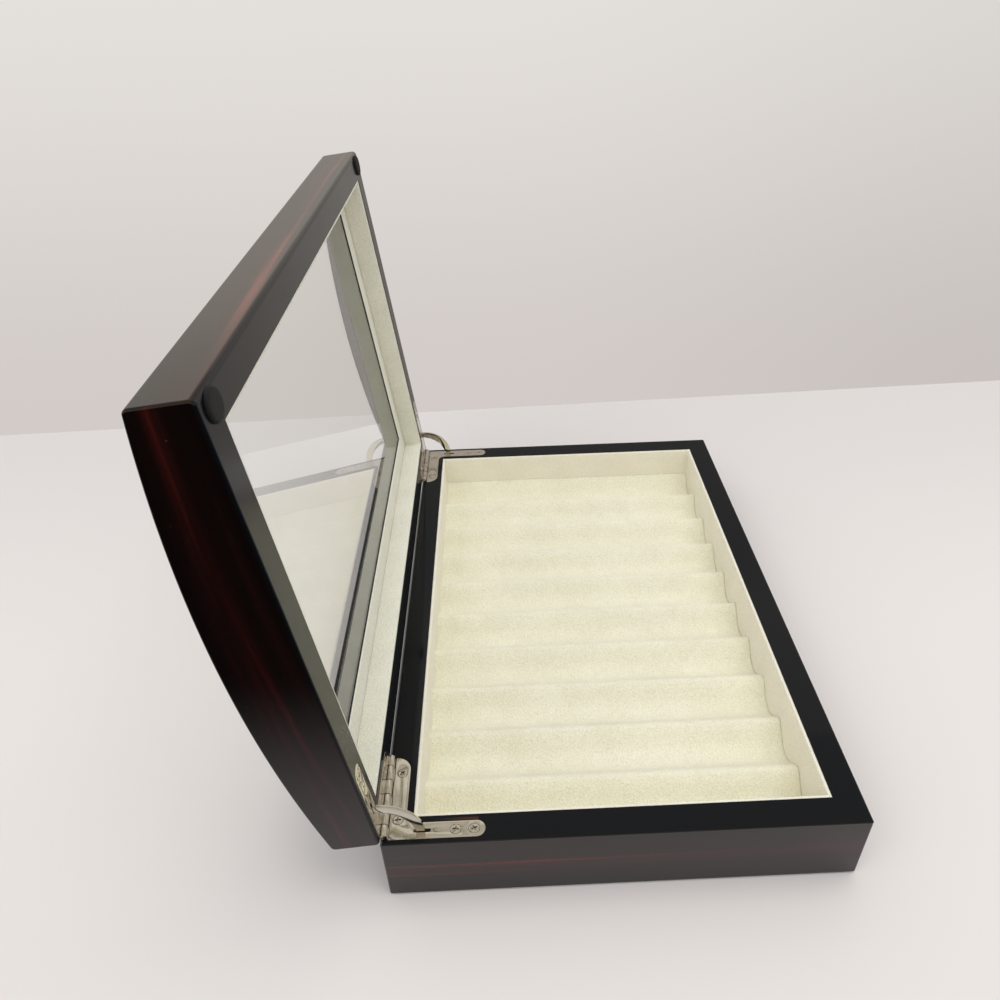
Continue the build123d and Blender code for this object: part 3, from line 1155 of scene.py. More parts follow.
@dataclass
class BaseBox:
    """The lower half: veneered walls, floor board, felt, linings and tray."""

    nodes: dict[str, bpy.types.Object]
    streaks: tuple[Streak, ...] = (
        Streak(14.6, 0.7, 0.30, middle_mm=90.0, spread_mm=90.0),
        Streak(17.8, 2.4, 0.10),
        Streak(20.7, 0.85, 0.36),
        Streak(27.5, 1.6, 0.05),
    )
    bare_edge: BareEdge = BareEdge(10.0 * MM, 1.5 * MM, 20.0 * MM, 20.0 * MM)

    def build(self) -> None:
        """Dresses the walls and models the soft pieces."""
        for side in Side:
            self.dress_wall(side)
            self.build_lining(side)
        dress(self.nodes["base_floor"], FLOOR_BOARD)
        self.build_felt()
        PenTray().build()

    def dress_wall(self, side: Side) -> None:
        """Gives one wall its veneer.

        Args:
            side: Which wall.
        """
        node = f"base_{side.value}_wall"
        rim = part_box(node)[1].z
        half_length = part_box("base_right_wall")[1].x
        half_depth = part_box("base_rear_wall")[1].y
        finish = Veneer(
            f"veneer_base_{side.value}",
            side.runs_along_x,
            rim,
            True,
            self.streaks,
            half_along=half_length if side.runs_along_x else half_depth,
            half_across=half_depth if side.runs_along_x else half_length,
            bare_edge=self.bare_edge if side is Side.LEFT else None,
        )
        dress(self.nodes[node], finish)

    def build_lining(self, side: Side) -> None:
        """Models one suede lining.

        Args:
            side: Which wall it lines.
        """
        node = f"base_lining_{side.value}"
        low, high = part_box(node)
        board = SuedeBoard(f"suede_{node}", low, high, side.runs_along_x, LINING_SUEDE)
        mount(board.build(), "base", "suede", node)

    def build_felt(self) -> None:
        """Models the felt under the base, with a softened edge."""
        low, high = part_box("base_felt")
        size = high - low
        middle = (low + high) / 2
        soft = 0.25 * MM
        rings = []
        for inset, z in ((0.0, high.z), (0.0, low.z + soft), (soft, low.z)):
            outline = rounded_rectangle(size.x - 2 * inset, size.y - 2 * inset, 1.5 * MM)
            rings.append([Vector((middle.x + x, middle.y + y, z)) for x, y in outline])
        points, faces = loft(rings)
        felt = make_object("felt_underside", points, [face[::-1] for face in faces])
        dress(felt, FELT)
        mount(felt, "base", "felt", "base_felt")


class FaceKind(Enum):
    """What a face of a trimmed rail lies on."""

    ARCH = "arch"
    FLAT = "flat"
    ARRIS = "arris"


@dataclass
class LidFrame:
    """The upper half: arched rails, glass, suede ledge and linings, and the bumper discs."""

    nodes: dict[str, bpy.types.Object]
    pivot: Pivot
    end_streaks: tuple[Streak, ...] = (
        Streak(50.0, 1.6, 0.07, middle_mm=-100.0, spread_mm=130.0),
        Streak(51.6, 0.9, 0.19, middle_mm=80.0, spread_mm=90.0),
        Streak(49.0, 4.6, 0.03),
        Streak(47.4, 1.0, 0.16, middle_mm=50.0, spread_mm=100.0, tilt=-0.05),
        Streak(55.2, 0.9, 0.05, middle_mm=10.0, spread_mm=70.0),
    )
    front_streaks: tuple[Streak, ...] = (
        Streak(41.9, 1.4, 1.5, tone=(0.40, 0.085, 0.06), middle_mm=-60.0, spread_mm=56.0),
        Streak(41.9, 0.9, 0.55, tone=(0.34, 0.075, 0.055), middle_mm=60.0, spread_mm=110.0),
        Streak(43.4, 2.6, 0.12),
        Streak(48.5, 2.6, 0.05),
    )
    rear_streaks: tuple[Streak, ...] = (
        Streak(44.6, 1.0, 0.30, middle_mm=40.0, spread_mm=120.0),
        Streak(50.5, 1.4, 0.16, middle_mm=-90.0, spread_mm=110.0),
        Streak(47.0, 2.6, 0.08),
    )
    arch_share: float = 0.5
    front_gloss: float = 0.86
    front_rim_gloss: float = 0.68
    end_rim_gloss: float = 0.58
    rim_roughness: float = 0.17
    front_arch: float = 1.5 * MM
    front_slant: float = 0.011
    crown: float = 9.4 * MM
    rim_radius: float = 2.1 * MM
    arch_end_radius: float = 2.2 * MM
    end_chamfer: float = 0.93 * MM
    end_radius: float = 0.92 * MM
    arch_steps: int = 20
    end_steps: int = 6
    shave: float = 0.02 * MM
    arch_shave: float = 0.15 * MM
    weld: float = 1e-6
    smooth_limit: float = math.cos(math.radians(40))
    flat_limit: float = 0.99995
    arch_limit: float = 0.998
    arch_play: float = 0.4 * MM
    rim_limit: float = 0.99
    window_edge: float = 0.9 * MM
    lacquer_edge: float = 1.6 * MM
    rim: float = field(init=False)
    top: float = field(init=False)
    half_length: float = field(init=False)
    half_depth: float = field(init=False)
    border: float = field(init=False)

    def __post_init__(self) -> None:
        """Reads the lid's outer sizes and the width of its rails from the left rail."""
        low, high = self.box("lid_left_rail")
        self.rim, self.top = low.z, high.z
        self.half_length, self.half_depth = -low.x, high.y
        self.border = high.x - low.x

    def build(self) -> None:
        """Dresses the rails and the glass and models the rest."""
        block = self.build_block()
        for side in Side:
            self.dress_rail(side, block)
            self.build_lining(side)
        bpy.data.objects.remove(block)
        dress(self.nodes["glass_pane"], ClearGlass())
        self.build_ledge()
        self.build_bumpers()

    def box(self, node: str) -> tuple[Vector, Vector]:
        """Box of one of the lid's nodes with the case shut."""
        return shut_box(self.nodes[node], self.pivot.swing())

    def open_up(self, points: Sequence[Vector]) -> list[Vector]:
        """Takes points of the shut lid to where they lie in the frame."""
        swing = self.pivot.swing()
        return [swing @ point for point in points]

    @property
    def arch_radius(self) -> float:
        """Radius of the arched top."""
        return (self.half_depth**2 + self.crown**2) / (2 * self.crown)

    @property
    def arch_line(self) -> float:
        """Height of the centre line of the arched top."""
        return self.top - self.arch_radius

    def build_block(self) -> bpy.types.Object:
        """Makes the outer form of the lid with rounded arrises, which its rails are trimmed to.

        Returns:
            The block, for the time that the rails are trimmed.
        """
        depth = self.half_depth
        top = self.top - self.arch_shave
        edge = top - self.crown
        corners = [Corner(Vector((side * depth, self.rim)), self.rim_radius) for side in (-1, 1)]
        corners.append(Corner(Vector((depth, edge)), self.arch_end_radius))
        for step in range(1, 2 * self.arch_steps):
            y = depth * (1 - step / self.arch_steps)
            z = top - self.arch_radius + math.sqrt(self.arch_radius**2 - y**2)
            corners.append(Corner(Vector((y, z))))
        corners.append(Corner(Vector((-depth, edge)), self.arch_end_radius))
        outline = drawn_in(rounded_outline(corners, 8), self.shave)
        rings = []
        turns = [math.radians(90 * step / self.end_steps) for step in range(self.end_steps + 1)]
        for side, order in ((-1, reversed(turns)), (1, turns)):
            for turn in order:
                reach = self.half_length - self.shave - self.end_radius * (1 - math.sin(turn))
                ring = drawn_in(outline, self.end_radius * (1 - math.cos(turn)))
                rings.append([Vector((side * reach, *point)) for point in ring])
        points, faces = loft(rings)
        block = make_object("lid_block", points, faces)
        self.turn(block)
        return block

    def trim(self, node: bpy.types.Object, block: bpy.types.Object, name: str) -> bpy.types.Object:
        """Copies a rail, draws the chamfers at its ends out square and cuts the copy to the block.

        Args:
            node: The rail.
            block: The block.
            name: Name of the trimmed rail.

        Returns:
            The trimmed rail.
        """
        work = bmesh.new()
        work.from_mesh(node.data)
        for vertex in work.verts:
            if abs(vertex.co.x) > self.half_length - self.end_chamfer:
                vertex.co.x = math.copysign(self.half_length, vertex.co.x)
        bmesh.ops.remove_doubles(work, verts=work.verts, dist=self.weld)
        rough = bpy.data.meshes.new(name)
        work.to_mesh(rough)
        work.free()
        blank = bpy.data.objects.new("blank", rough)
        bpy.context.scene.collection.objects.link(blank)
        cut = blank.modifiers.new("cut", "BOOLEAN")
        cut.operation, cut.solver, cut.object = "INTERSECT", "EXACT", block
        shaped = blank.evaluated_get(bpy.context.evaluated_depsgraph_get())
        mesh = bpy.data.meshes.new_from_object(shaped)
        bpy.data.objects.remove(blank)
        mesh.name = name
        mesh.materials.clear()
        mesh.shade_smooth()
        mesh.normals_split_custom_set(self.true_normals(mesh))
        rail = bpy.data.objects.new(name, mesh)
        bpy.context.scene.collection.objects.link(rail)
        return rail

    def true_normals(self, mesh: bpy.types.Mesh) -> list[Vector]:
        """Normals exact on flat faces and on the arch, which turn evenly over the rounded arrises.

        Args:
            mesh: A trimmed rail.

        Returns:
            A normal for each corner of each face.
        """
        turn = self.pivot.swing().to_3x3()
        back = self.pivot.swing().inverted()
        outward = []
        for vertex in mesh.vertices:
            shut = back @ vertex.co
            outward.append((turn @ Vector((0, shut.y, shut.z - self.arch_line))).normalized())
        anchors: list[list[Vector]] = [[] for _ in mesh.vertices]
        rounded: list[list[Vector]] = [[] for _ in mesh.vertices]
        kinds = [self.kind(polygon, outward[polygon.vertices[0]]) for polygon in mesh.polygons]
        for polygon, kind in zip(mesh.polygons, kinds):
            group = rounded if kind is FaceKind.ARRIS else anchors
            on_arch = kind is FaceKind.ARCH
            for corner in polygon.vertices:
                group[corner].append(outward[corner] if on_arch else polygon.normal.copy())
        normals = []
        for polygon, kind in zip(mesh.polygons, kinds):
            for corner in polygon.vertices:
                normal = outward[corner] if kind is FaceKind.ARCH else polygon.normal.copy()
                if kind is FaceKind.ARRIS:
                    near = [way for way in anchors[corner] if way.dot(normal) > self.smooth_limit]
                    near = near or [way for way in rounded[corner] if way.dot(normal) > self.smooth_limit]
                    normal = sum(near, Vector()).normalized() if near else normal
                normals.append(normal)
        return normals

    def kind(self, polygon: bpy.types.MeshPolygon, outward: Vector) -> FaceKind:
        """What a face of a trimmed rail lies on.

        Args:
            polygon: The face.
            outward: Direction from the arch's centre line to its first corner.

        Returns:
            Its kind.
        """
        swing = self.pivot.swing()
        middle = swing.inverted() @ polygon.center
        off_arch = abs(math.hypot(middle.y, middle.z - self.arch_line) - self.arch_radius)
        if off_arch < self.arch_play and polygon.normal.dot(outward) > self.arch_limit:
            return FaceKind.ARCH
        shut = swing.to_3x3().transposed() @ polygon.normal
        return FaceKind.FLAT if max(abs(share) for share in shut) > self.flat_limit else FaceKind.ARRIS

    def streaks(self, side: Side) -> tuple[Streak, ...]:
        """The red streaks of one rail."""
        if side.runs_along_x:
            return self.front_streaks if side is Side.FRONT else self.rear_streaks
        return self.end_streaks

    def dress_rail(self, side: Side, block: bpy.types.Object) -> None:
        """Gives one rail its rounded arrises and its veneer.

        Args:
            side: Which rail.
            block: The block that it is trimmed to.
        """
        node = f"lid_{side.value}_rail"
        low, high = self.box(node)
        border = high.y - low.y if side.runs_along_x else high.x - low.x
        finish = Veneer(
            f"veneer_lid_{side.value}",
            side.runs_along_x,
            self.rim,
            False,
            self.streaks(side),
            half_along=self.half_length if side.runs_along_x else self.half_depth,
            half_across=self.half_depth if side.runs_along_x else self.half_length,
            arch=self.front_arch if side.runs_along_x else self.crown * self.arch_share,
            slant=self.front_slant if side.runs_along_x else 0.0,
            face_gloss=self.front_gloss if side.runs_along_x else 1.0,
            back_turn=self.pivot.angle,
            pin=tuple(self.pivot.place),
            window_border=border - self.window_edge,
            lacquer_edge=self.lacquer_edge,
            rim_gloss=self.front_rim_gloss if side.runs_along_x else self.end_rim_gloss,
        )
        rail = self.trim(self.nodes[node], block, f"veneered_{side.value}_rail")
        rim_name = f"lacquer_lid_{side.value}"
        rim_finish = replace(finish, name=rim_name, coat_roughness=self.rim_roughness)
        for part in (finish, rim_finish):
            rail.data.materials.append(part.material())
        down = self.pivot.swing().to_3x3() @ Vector((0, 0, -1))
        for polygon in rail.data.polygons:
            polygon.material_index = 1 if polygon.normal.dot(down) > self.rim_limit else 0
        mount(rail, "lid", "case_wood", node)

    def build_lining(self, side: Side) -> None:
        """Models one suede lining.

        Args:
            side: Which rail it lines.
        """
        node = f"lid_lining_{side.value}"
        low, high = self.box(node)
        piece = SuedeBoard(f"suede_{node}", low, high, side.runs_along_x, SHADED_LID_SUEDE).build()
        self.turn(piece)
        mount(piece, "lid", "suede", node)

    def turn(self, piece: bpy.types.Object) -> None:
        """Takes a piece that was built for the shut lid to where the lid stands."""
        piece.data.transform(self.pivot.swing())

    def build_ledge(self) -> None:
        """Models the suede-covered ledge board, whose cut inner edge is black."""
        low, high = self.box("lid_ledge_lining")
        window_x = 2 * (self.half_length - self.border)
        window_y = 2 * (self.half_depth - self.border)
        fold = 0.5 * MM
        corner = 0.4 * MM
        levels = (
            (0.0, 0.0, low.z),
            (1.0, -fold, low.z),
            (1.0, 0.0, low.z + fold),
            (1.0, 0.0, high.z),
            (0.0, 0.0, high.z),
        )
        size = high - low
        rings = []
        for inner, grow, z in levels:
            width = (window_x if inner else size.x) - 2 * grow
            depth = (window_y if inner else size.y) - 2 * grow
            outline = rounded_rectangle(width, depth, corner, 2)
            rings.append([Vector((x, y, z)) for x, y in outline])
        points, faces = loft(rings, closed=True)
        ledge = make_object("suede_lid_ledge", points, faces, 30.0)
        ledge.data.materials.append(SHADED_LID_SUEDE.material())
        ledge.data.materials.append(CARD_EDGE.material())
        count = len(rings[0])
        for number, polygon in enumerate(ledge.data.polygons):
            cut_edge = number // count in (2, 3)
            polygon.material_index = 1 if cut_edge else 0
        self.turn(ledge)
        mount(ledge, "lid", "suede", "lid_ledge_lining")

    def build_bumpers(self) -> None:
        """Models the two rubber discs in the front corners as one piece."""
        low, high = self.box("lid_bumpers")
        radius = (high.y - low.y) / 2
        soft = 0.9 * MM
        rounding = [math.radians(angle) for angle in (0, 22.5, 45, 67.5, 90)]
        profile = [
            (radius, high.z),
            *((radius - soft * (1 - math.cos(a)), low.z + soft * (1 - math.sin(a))) for a in rounding),
            (radius * 0.35, low.z),
        ]
        steps = 48
        angles = [2 * math.pi * step / steps for step in range(steps)]
        points: list[Vector] = []
        faces: list[list[int]] = []
        for sign in (-1, 1):
            centre = Vector((sign * (high.x - radius), (low.y + high.y) / 2, 0))
            rings = []
            for reach, z in profile:
                around = [Vector((reach * math.cos(a), reach * math.sin(a), z)) for a in angles]
                rings.append([centre + point for point in around])
            more, skin = loft(rings)
            start = len(points)
            points += more
            faces += [[start + index for index in face[::-1]] for face in skin]
        discs = make_object("bumper_discs", self.open_up(points), faces)
        dress(discs, RUBBER)
        mount(discs, "lid", "bumper", "lid_bumpers")


class MetalWork:
    """Gathers the solids of one metal piece, drawn in millimetres, into one mesh."""

    weld: float = 0.0005
    level_limit: float = 0.999
    sharp_degrees: float = 35.0

    def __init__(self) -> None:
        """Starts with nothing."""
        self.work = bmesh.new()

    def cut_plate(
        self,
        outline: Sequence[Vector],
        holes: Sequence[Sequence[Vector]],
        thickness: float,
        arris: float,
        place: Matrix,
    ) -> None:
        """Adds a plate with softened edges.

        Args:
            outline: Its outline, counter-clockwise.
            holes: Outlines of its holes, counter-clockwise.
            thickness: Its thickness, half of it each way from the drawing.
            arris: Radius of its edges.
            place: Where the drawing lies.
        """
        curve = bpy.data.curves.new("drawing", "CURVE")
        curve.dimensions = "2D"
        curve.fill_mode = "BOTH"
        curve.extrude = thickness / 2 - arris
        curve.bevel_depth = arris
        curve.bevel_resolution = 2
        for points in (drawn_in(outline, arris), *(drawn_in(hole, -arris) for hole in holes)):
            spline = curve.splines.new("POLY")
            spline.points.add(len(points) - 1)
            for point, where in zip(spline.points, points):
                point.co = (where.x, where.y, 0.0, 1.0)
            spline.use_cyclic_u = True
        drawing = bpy.data.objects.new("drawing", curve)
        mesh = bpy.data.meshes.new_from_object(drawing)
        flat = [abs(polygon.normal.z) > self.level_limit for polygon in mesh.polygons]
        mesh.polygons.foreach_set("use_smooth", [not level for level in flat])
        mesh.transform(place)
        bpy.data.objects.remove(drawing)
        bpy.data.curves.remove(curve)
        self.add_solid(mesh)

    def add_solid(self, mesh: bpy.types.Mesh) -> None:
        """Welds the mesh of one solid, turns its faces outwards and adds it."""
        solid = bmesh.new()
        solid.from_mesh(mesh)
        bmesh.ops.remove_doubles(solid, verts=solid.verts, dist=self.weld)
        bmesh.ops.recalc_face_normals(solid, faces=solid.faces)
        face_outward(solid)
        solid.to_mesh(mesh)
        solid.free()
        self.work.from_mesh(mesh)
        bpy.data.meshes.remove(mesh)

    def skin(self, rings: Sequence[Sequence[Vector]]) -> None:
        """Adds a closed skin through rings of points."""
        points, faces = loft(rings)
        mesh = bpy.data.meshes.new("skin")
        mesh.from_pydata([tuple(point) for point in points], [], faces)
        mesh.shade_smooth()
        self.add_solid(mesh)

    def make(self, name: str, place: Matrix) -> bpy.types.Object:
        """Turns what was gathered into an object.

        Args:
            name: Its name.
            place: From the drawing's millimetres to the frame.

        Returns:
            The dressed piece.
        """
        self.work.transform(place)
        if place.determinant() < 0:
            bmesh.ops.reverse_faces(self.work, faces=self.work.faces[:])
        mesh = bpy.data.meshes.new(name)
        self.work.to_mesh(mesh)
        self.work.free()
        mesh.set_sharp_from_angle(angle=math.radians(self.sharp_degrees))
        piece = bpy.data.objects.new(name, mesh)
        bpy.context.scene.collection.objects.link(piece)
        dress(piece, Nickel())
        return piece


@dataclass
class Hinge:
    """The quadrant hinge at one rear corner: two leaves, their pin, eight screws and the curved stay.

    Sizes are in millimetres. Places run inward from the end face and forward from the rear face.
    """

    nodes: dict[str, bpy.types.Object]
    hand: Hand
    pivot: Pivot
    leaf_thickness: float = 1.3
    leaf_arris: float = 0.14
    leaf_inset: float = 2.2
    leaf_back: float = 3.05
    rear_arm: tuple[float, float, float] = (42.8, 9.9, 6.5)
    end_arm: tuple[float, float, float] = (9.8, 42.5, 3.7)
    inner_corner: float = 4.0
    barrel_start: float = 2.8
    knuckle_lengths: tuple[float, ...] = (5.4, 7.3, 7.3, 7.3, 7.3, 5.4)
    knuckle_gap: float = 0.3
    knuckle_arris: float = 0.22
    barrel_radius: float = 1.75
    barrel_steps: int = 26
    bore_radius: float = 0.86
    web_start: float = 0.9
    web_reach: float = 2.3
    pin_radius: float = 0.8
    screw_places: tuple[tuple[float, float], ...] = ((11.4, 6.4), (34.6, 6.4), (6.0, 30.3), (6.0, 37.9))
    screw_radius: float = 2.2
    screw_play: float = 0.1
    shank_radius: float = 1.0
    screw_length: float = 9.0
    cross_reach: float = 1.3
    cross_half_width: float = 0.33
    stay_line: float = 6.0
    stay_thickness: float = 1.0
    stay_radii: tuple[float, float] = (12.35, 16.85)
    stay_arris: float = 0.18
    stay_steps: int = 24
    stay_waist: float = 0.9
    stay_waist_share: float = 0.75
    stay_head_arris: float = 0.15
    stay_head_steps: int = 4
    stay_head_start: float = 58.9
    stay_half_arc: float = 63.9
    stay_head_thickness: float = 3.4
    slot: tuple[float, float, float, float] = (13.15, 20.25, 1.6, 0.7)
    end: float = field(init=False)
    rear: float = field(init=False)
    rim: float = field(init=False)
    pin: Vector = field(init=False)

    def __post_init__(self) -> None:
        """Reads the left end face, the rear face, the base's rim and the pins from the frame."""
        low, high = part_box("base_left_wall")
        self.end, self.rim = low.x / MM, high.z / MM
        self.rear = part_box("base_rear_wall")[1].y / MM
        self.pin = self.pivot.place / MM

    def build(self) -> None:
        """Models the pieces of the hinge."""
        for on_lid in (False, True):
            self.build_leaf(on_lid)
            self.build_screws(on_lid)
        self.build_pin()
        self.build_stay()

    def plan(self, inward: float, forward: float) -> Vector:
        """A place in plan from its distances to the end and rear faces."""
        return Vector((self.end + inward, self.rear - forward))

    def in_frame(self, on_lid: bool = False, share: float = 0.0) -> Matrix:
        """From the millimetres of the left hinge on the shut base to the frame.

        Args:
            on_lid: Mirrors the drawing up into the lid and swings it open with it.
            share: Part of the opening angle to swing a piece by that isn't on the lid.

        Returns:
            The matrix.
        """
        matrix = Matrix.Scale(MM, 4)
        if on_lid:
            there = Matrix.Translation(self.pivot.place)
            matrix = there @ Matrix.Scale(-1, 4, (0, 0, 1)) @ there.inverted() @ matrix
            share = 1.0
        if self.hand is Hand.RIGHT:
            matrix = Matrix.Scale(-1, 4, (1, 0, 0)) @ matrix
        return self.pivot.swing(share) @ matrix

    def across(self, x: float) -> Matrix:
        """From a drawing round the pin to the plane across it at a distance along the case."""
        rows = ((0, 0, -1, x), (-1, 0, 0, self.pin.y), (0, 1, 0, self.pin.z), (0, 0, 0, 1))
        return Matrix(rows)

    def build_leaf(self, on_lid: bool) -> None:
        """Models one leaf with its slot, screw holes and rolled knuckles.

        Args:
            on_lid: True for the lid's leaf, which has every second knuckle from the second on.
        """
        metal = MetalWork()
        rear_reach, rear_edge, rear_round = self.rear_arm
        end_edge, end_reach, end_round = self.end_arm
        corners = (
            Corner(self.plan(self.leaf_inset, self.leaf_back)),
            Corner(self.plan(self.leaf_inset, end_reach), end_round),
            Corner(self.plan(end_edge, end_reach), end_round),
            Corner(self.plan(end_edge, rear_edge), self.inner_corner),
            Corner(self.plan(rear_reach, rear_edge), rear_round),
            Corner(self.plan(rear_reach, self.leaf_back)),
        )
        hole = self.screw_radius + self.screw_play
        holes = [circle(self.plan(*place), hole) for place in self.screw_places]
        back, front, width, corner = self.slot
        slot_corners = [
            Corner(self.plan(self.stay_line + side * width / 2, forward), corner)
            for side, forward in ((-1, back), (-1, front), (1, front), (1, back))
        ]
        holes.append(rounded_outline(slot_corners, 4))
        level = Matrix.Translation((0, 0, self.rim - self.leaf_thickness / 2))
        metal.cut_plate(rounded_outline(corners), holes, self.leaf_thickness, self.leaf_arris, level)
        self.add_knuckles(metal, 1 if on_lid else 0)
        half = "lid" if on_lid else "base"
        piece = metal.make(f"nickel_{half}_leaf_{self.hand.value}", self.in_frame(on_lid))
        mount(piece, half, "hinge_leaf", f"{half}_hinge_leaf_{self.hand.value}")

    def add_knuckles(self, metal: MetalWork, first: int) -> None:
        """Adds every second knuckle of the barrel.

        Args:
            metal: The leaf that they belong to.
            first: Number of the first.
        """
        top = self.rim - self.pin.z
        under = top - self.leaf_thickness
        meets = math.asin(top / self.barrel_radius)
        sweep = 1.5 * math.pi - meets
        arc = [meets + sweep * step / self.barrel_steps for step in range(self.barrel_steps + 1)]
        outline = [Vector((math.cos(a), math.sin(a))) * self.barrel_radius for a in arc]
        web = ((self.web_start, under), (self.web_reach, under), (self.web_reach, top))
        outline += [Vector(place) for place in web]
        bore = circle(Vector((0, 0)), self.bore_radius, 20)
        start = self.barrel_start
        last = len(self.knuckle_lengths) - 1
        for number, length in enumerate(self.knuckle_lengths):
            begin = start + (self.knuckle_gap / 2 if number else 0.0)
            finish = start + length - (self.knuckle_gap / 2 if number < last else 0.0)
            start += length
            if number % 2 == first:
                place = self.across(self.end + (begin + finish) / 2)
                metal.cut_plate(outline, [bore], finish - begin, self.knuckle_arris, place)

    def build_screws(self, on_lid: bool) -> None:
        """Models the four cross-head screws of one leaf.

        Args:
            on_lid: True for the lid's leaf.
        """
        metal = MetalWork()
        first_turn = (11.0 if on_lid else 24.0) + 19.0 * self.hand.outward
        for number, place in enumerate(self.screw_places):
            turn = math.radians(37.0 * number + first_turn)
            metal.skin(self.screw_rings(self.plan(*place), turn))
        half = "lid" if on_lid else "base"
        piece = metal.make(f"nickel_{half}_screws_{self.hand.value}", self.in_frame(on_lid))
        mount(piece, half, "screw", f"{half}_hinge_screws_{self.hand.value}")

    def screw_rings(self, place: Vector, turn: float) -> list[list[Vector]]:
        """Rings of a countersunk screw from its tip up and down into the cross recess.

        Args:
            place: Its place in plan.
            turn: How far its cross is turned.

        Returns:
            The rings.
        """
        arm = math.degrees(math.atan(self.cross_half_width / self.cross_reach))
        quarter = (-45.0, -36.0, -26.0, -arm, -arm / 2, 0.0, arm / 2, arm, 26.0, 36.0)
        rays = [
            (math.radians(90 * side + angle), math.radians(angle))
            for side in range(4)
            for angle in quarter
        ]
        head, shank = self.screw_radius, self.shank_radius
        rings = []
        body = (
            (0.3, -self.screw_length),
            (shank, 1.2 - self.screw_length),
            (shank, -self.leaf_thickness),
            (head - 0.1, -0.3),
            (head, -0.14),
            (head - 0.04, -0.02),
            (head - 0.16, 0.05),
            (head - 0.45, 0.11),
        )
        for radius, level in body:
            rings.append([(radius, ray[0], level) for ray in rays])
        recess = ((1.06, 0.17), (0.98, 0.13), (0.9, -0.1), (0.55, -0.95))
        for share, level in recess:
            rings.append([(share * self.cross_edge(ray[1]), ray[0], level) for ray in rays])

        def point(r: float, a: float, z: float) -> Vector:
            """A point of the screw, from its radius, its angle and its height over the rim."""
            x, y = place.x + r * math.cos(a + turn), place.y + r * math.sin(a + turn)
            return Vector((x, y, self.rim + z))

        return [[point(*ray) for ray in ring] for ring in rings]

    def cross_edge(self, angle: float) -> float:
        """Distance from the middle of the cross recess to its edge, at an angle to the nearest arm."""
        tip = self.cross_reach / math.cos(angle)
        if abs(math.sin(angle)) < 1e-6:
            return tip
        return min(tip, self.cross_half_width / abs(math.sin(angle)))

    def build_pin(self) -> None:
        """Models the pin with domed ends."""
        metal = MetalWork()
        start = self.end + self.barrel_start
        finish = start + sum(self.knuckle_lengths)
        radius = self.pin_radius
        dome = ((0.3, 0.02), (0.75, 0.12), (1.0, 0.35))
        stations = [(share, start + step) for share, step in dome]
        stations += [(share, finish - step) for share, step in reversed(dome)]
        turns = [2 * math.pi * step / 20 for step in range(20)]
        rings = []
        for share, x in stations:
            around = [(share * radius * math.cos(t), share * radius * math.sin(t)) for t in turns]
            rings.append([Vector((x, self.pin.y + y, self.pin.z + z)) for y, z in around])
        metal.skin(rings)
        piece = metal.make(f"nickel_pin_{self.hand.value}", self.in_frame())
        mount(piece, self.pin_body, "hinge_pin", f"hinge_pin_{self.hand.value}")

    @property
    def pin_body(self) -> str:
        """The body that the pin rides on in the frame."""
        return self.nodes[f"hinge_pin_{self.hand.value}"]["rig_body"]

    def build_stay(self) -> None:
        """Models the curved stay, a flat plate across the pins with a thicker head at each end."""
        metal = MetalWork()
        inner, outer = self.stay_radii
        steps = self.stay_steps
        angles = [math.radians(self.stay_half_arc * (step / steps - 1)) for step in range(2 * steps + 1)]
        waist_end = math.radians(self.stay_half_arc * self.stay_waist_share)
        inside = [inner + self.stay_waist * min(1.0, abs(a) / waist_end) ** 2 for a in angles]
        outline = [Vector((math.cos(a), math.sin(a))) * outer for a in angles]
        back_along = reversed(list(zip(angles, inside)))
        outline += [Vector((math.cos(a), math.sin(a))) * r for a, r in back_along]
        place = self.across(self.end + self.stay_line)
        metal.cut_plate(outline, [], self.stay_thickness, self.stay_arris, place)
        head_arc = self.stay_half_arc - self.stay_head_start
        shares = [step / self.stay_head_steps for step in range(self.stay_head_steps + 1)]
        reaches = [self.stay_head_start + head_arc * share for share in shares]
        for sign in (-1, 1):
            turns = sorted(math.radians(sign * reach) for reach in reaches)
            head = [Vector((math.cos(a), math.sin(a))) * outer for a in turns]
            head += [Vector((math.cos(a), math.sin(a))) * inner for a in reversed(turns)]
            metal.cut_plate(head, [], self.stay_head_thickness, self.stay_head_arris, place)
        piece = metal.make(f"nickel_stay_{self.hand.value}", self.in_frame(share=0.5))
        mount(piece, f"stay_{self.hand.value}", "stay", f"stay_{self.hand.value}")


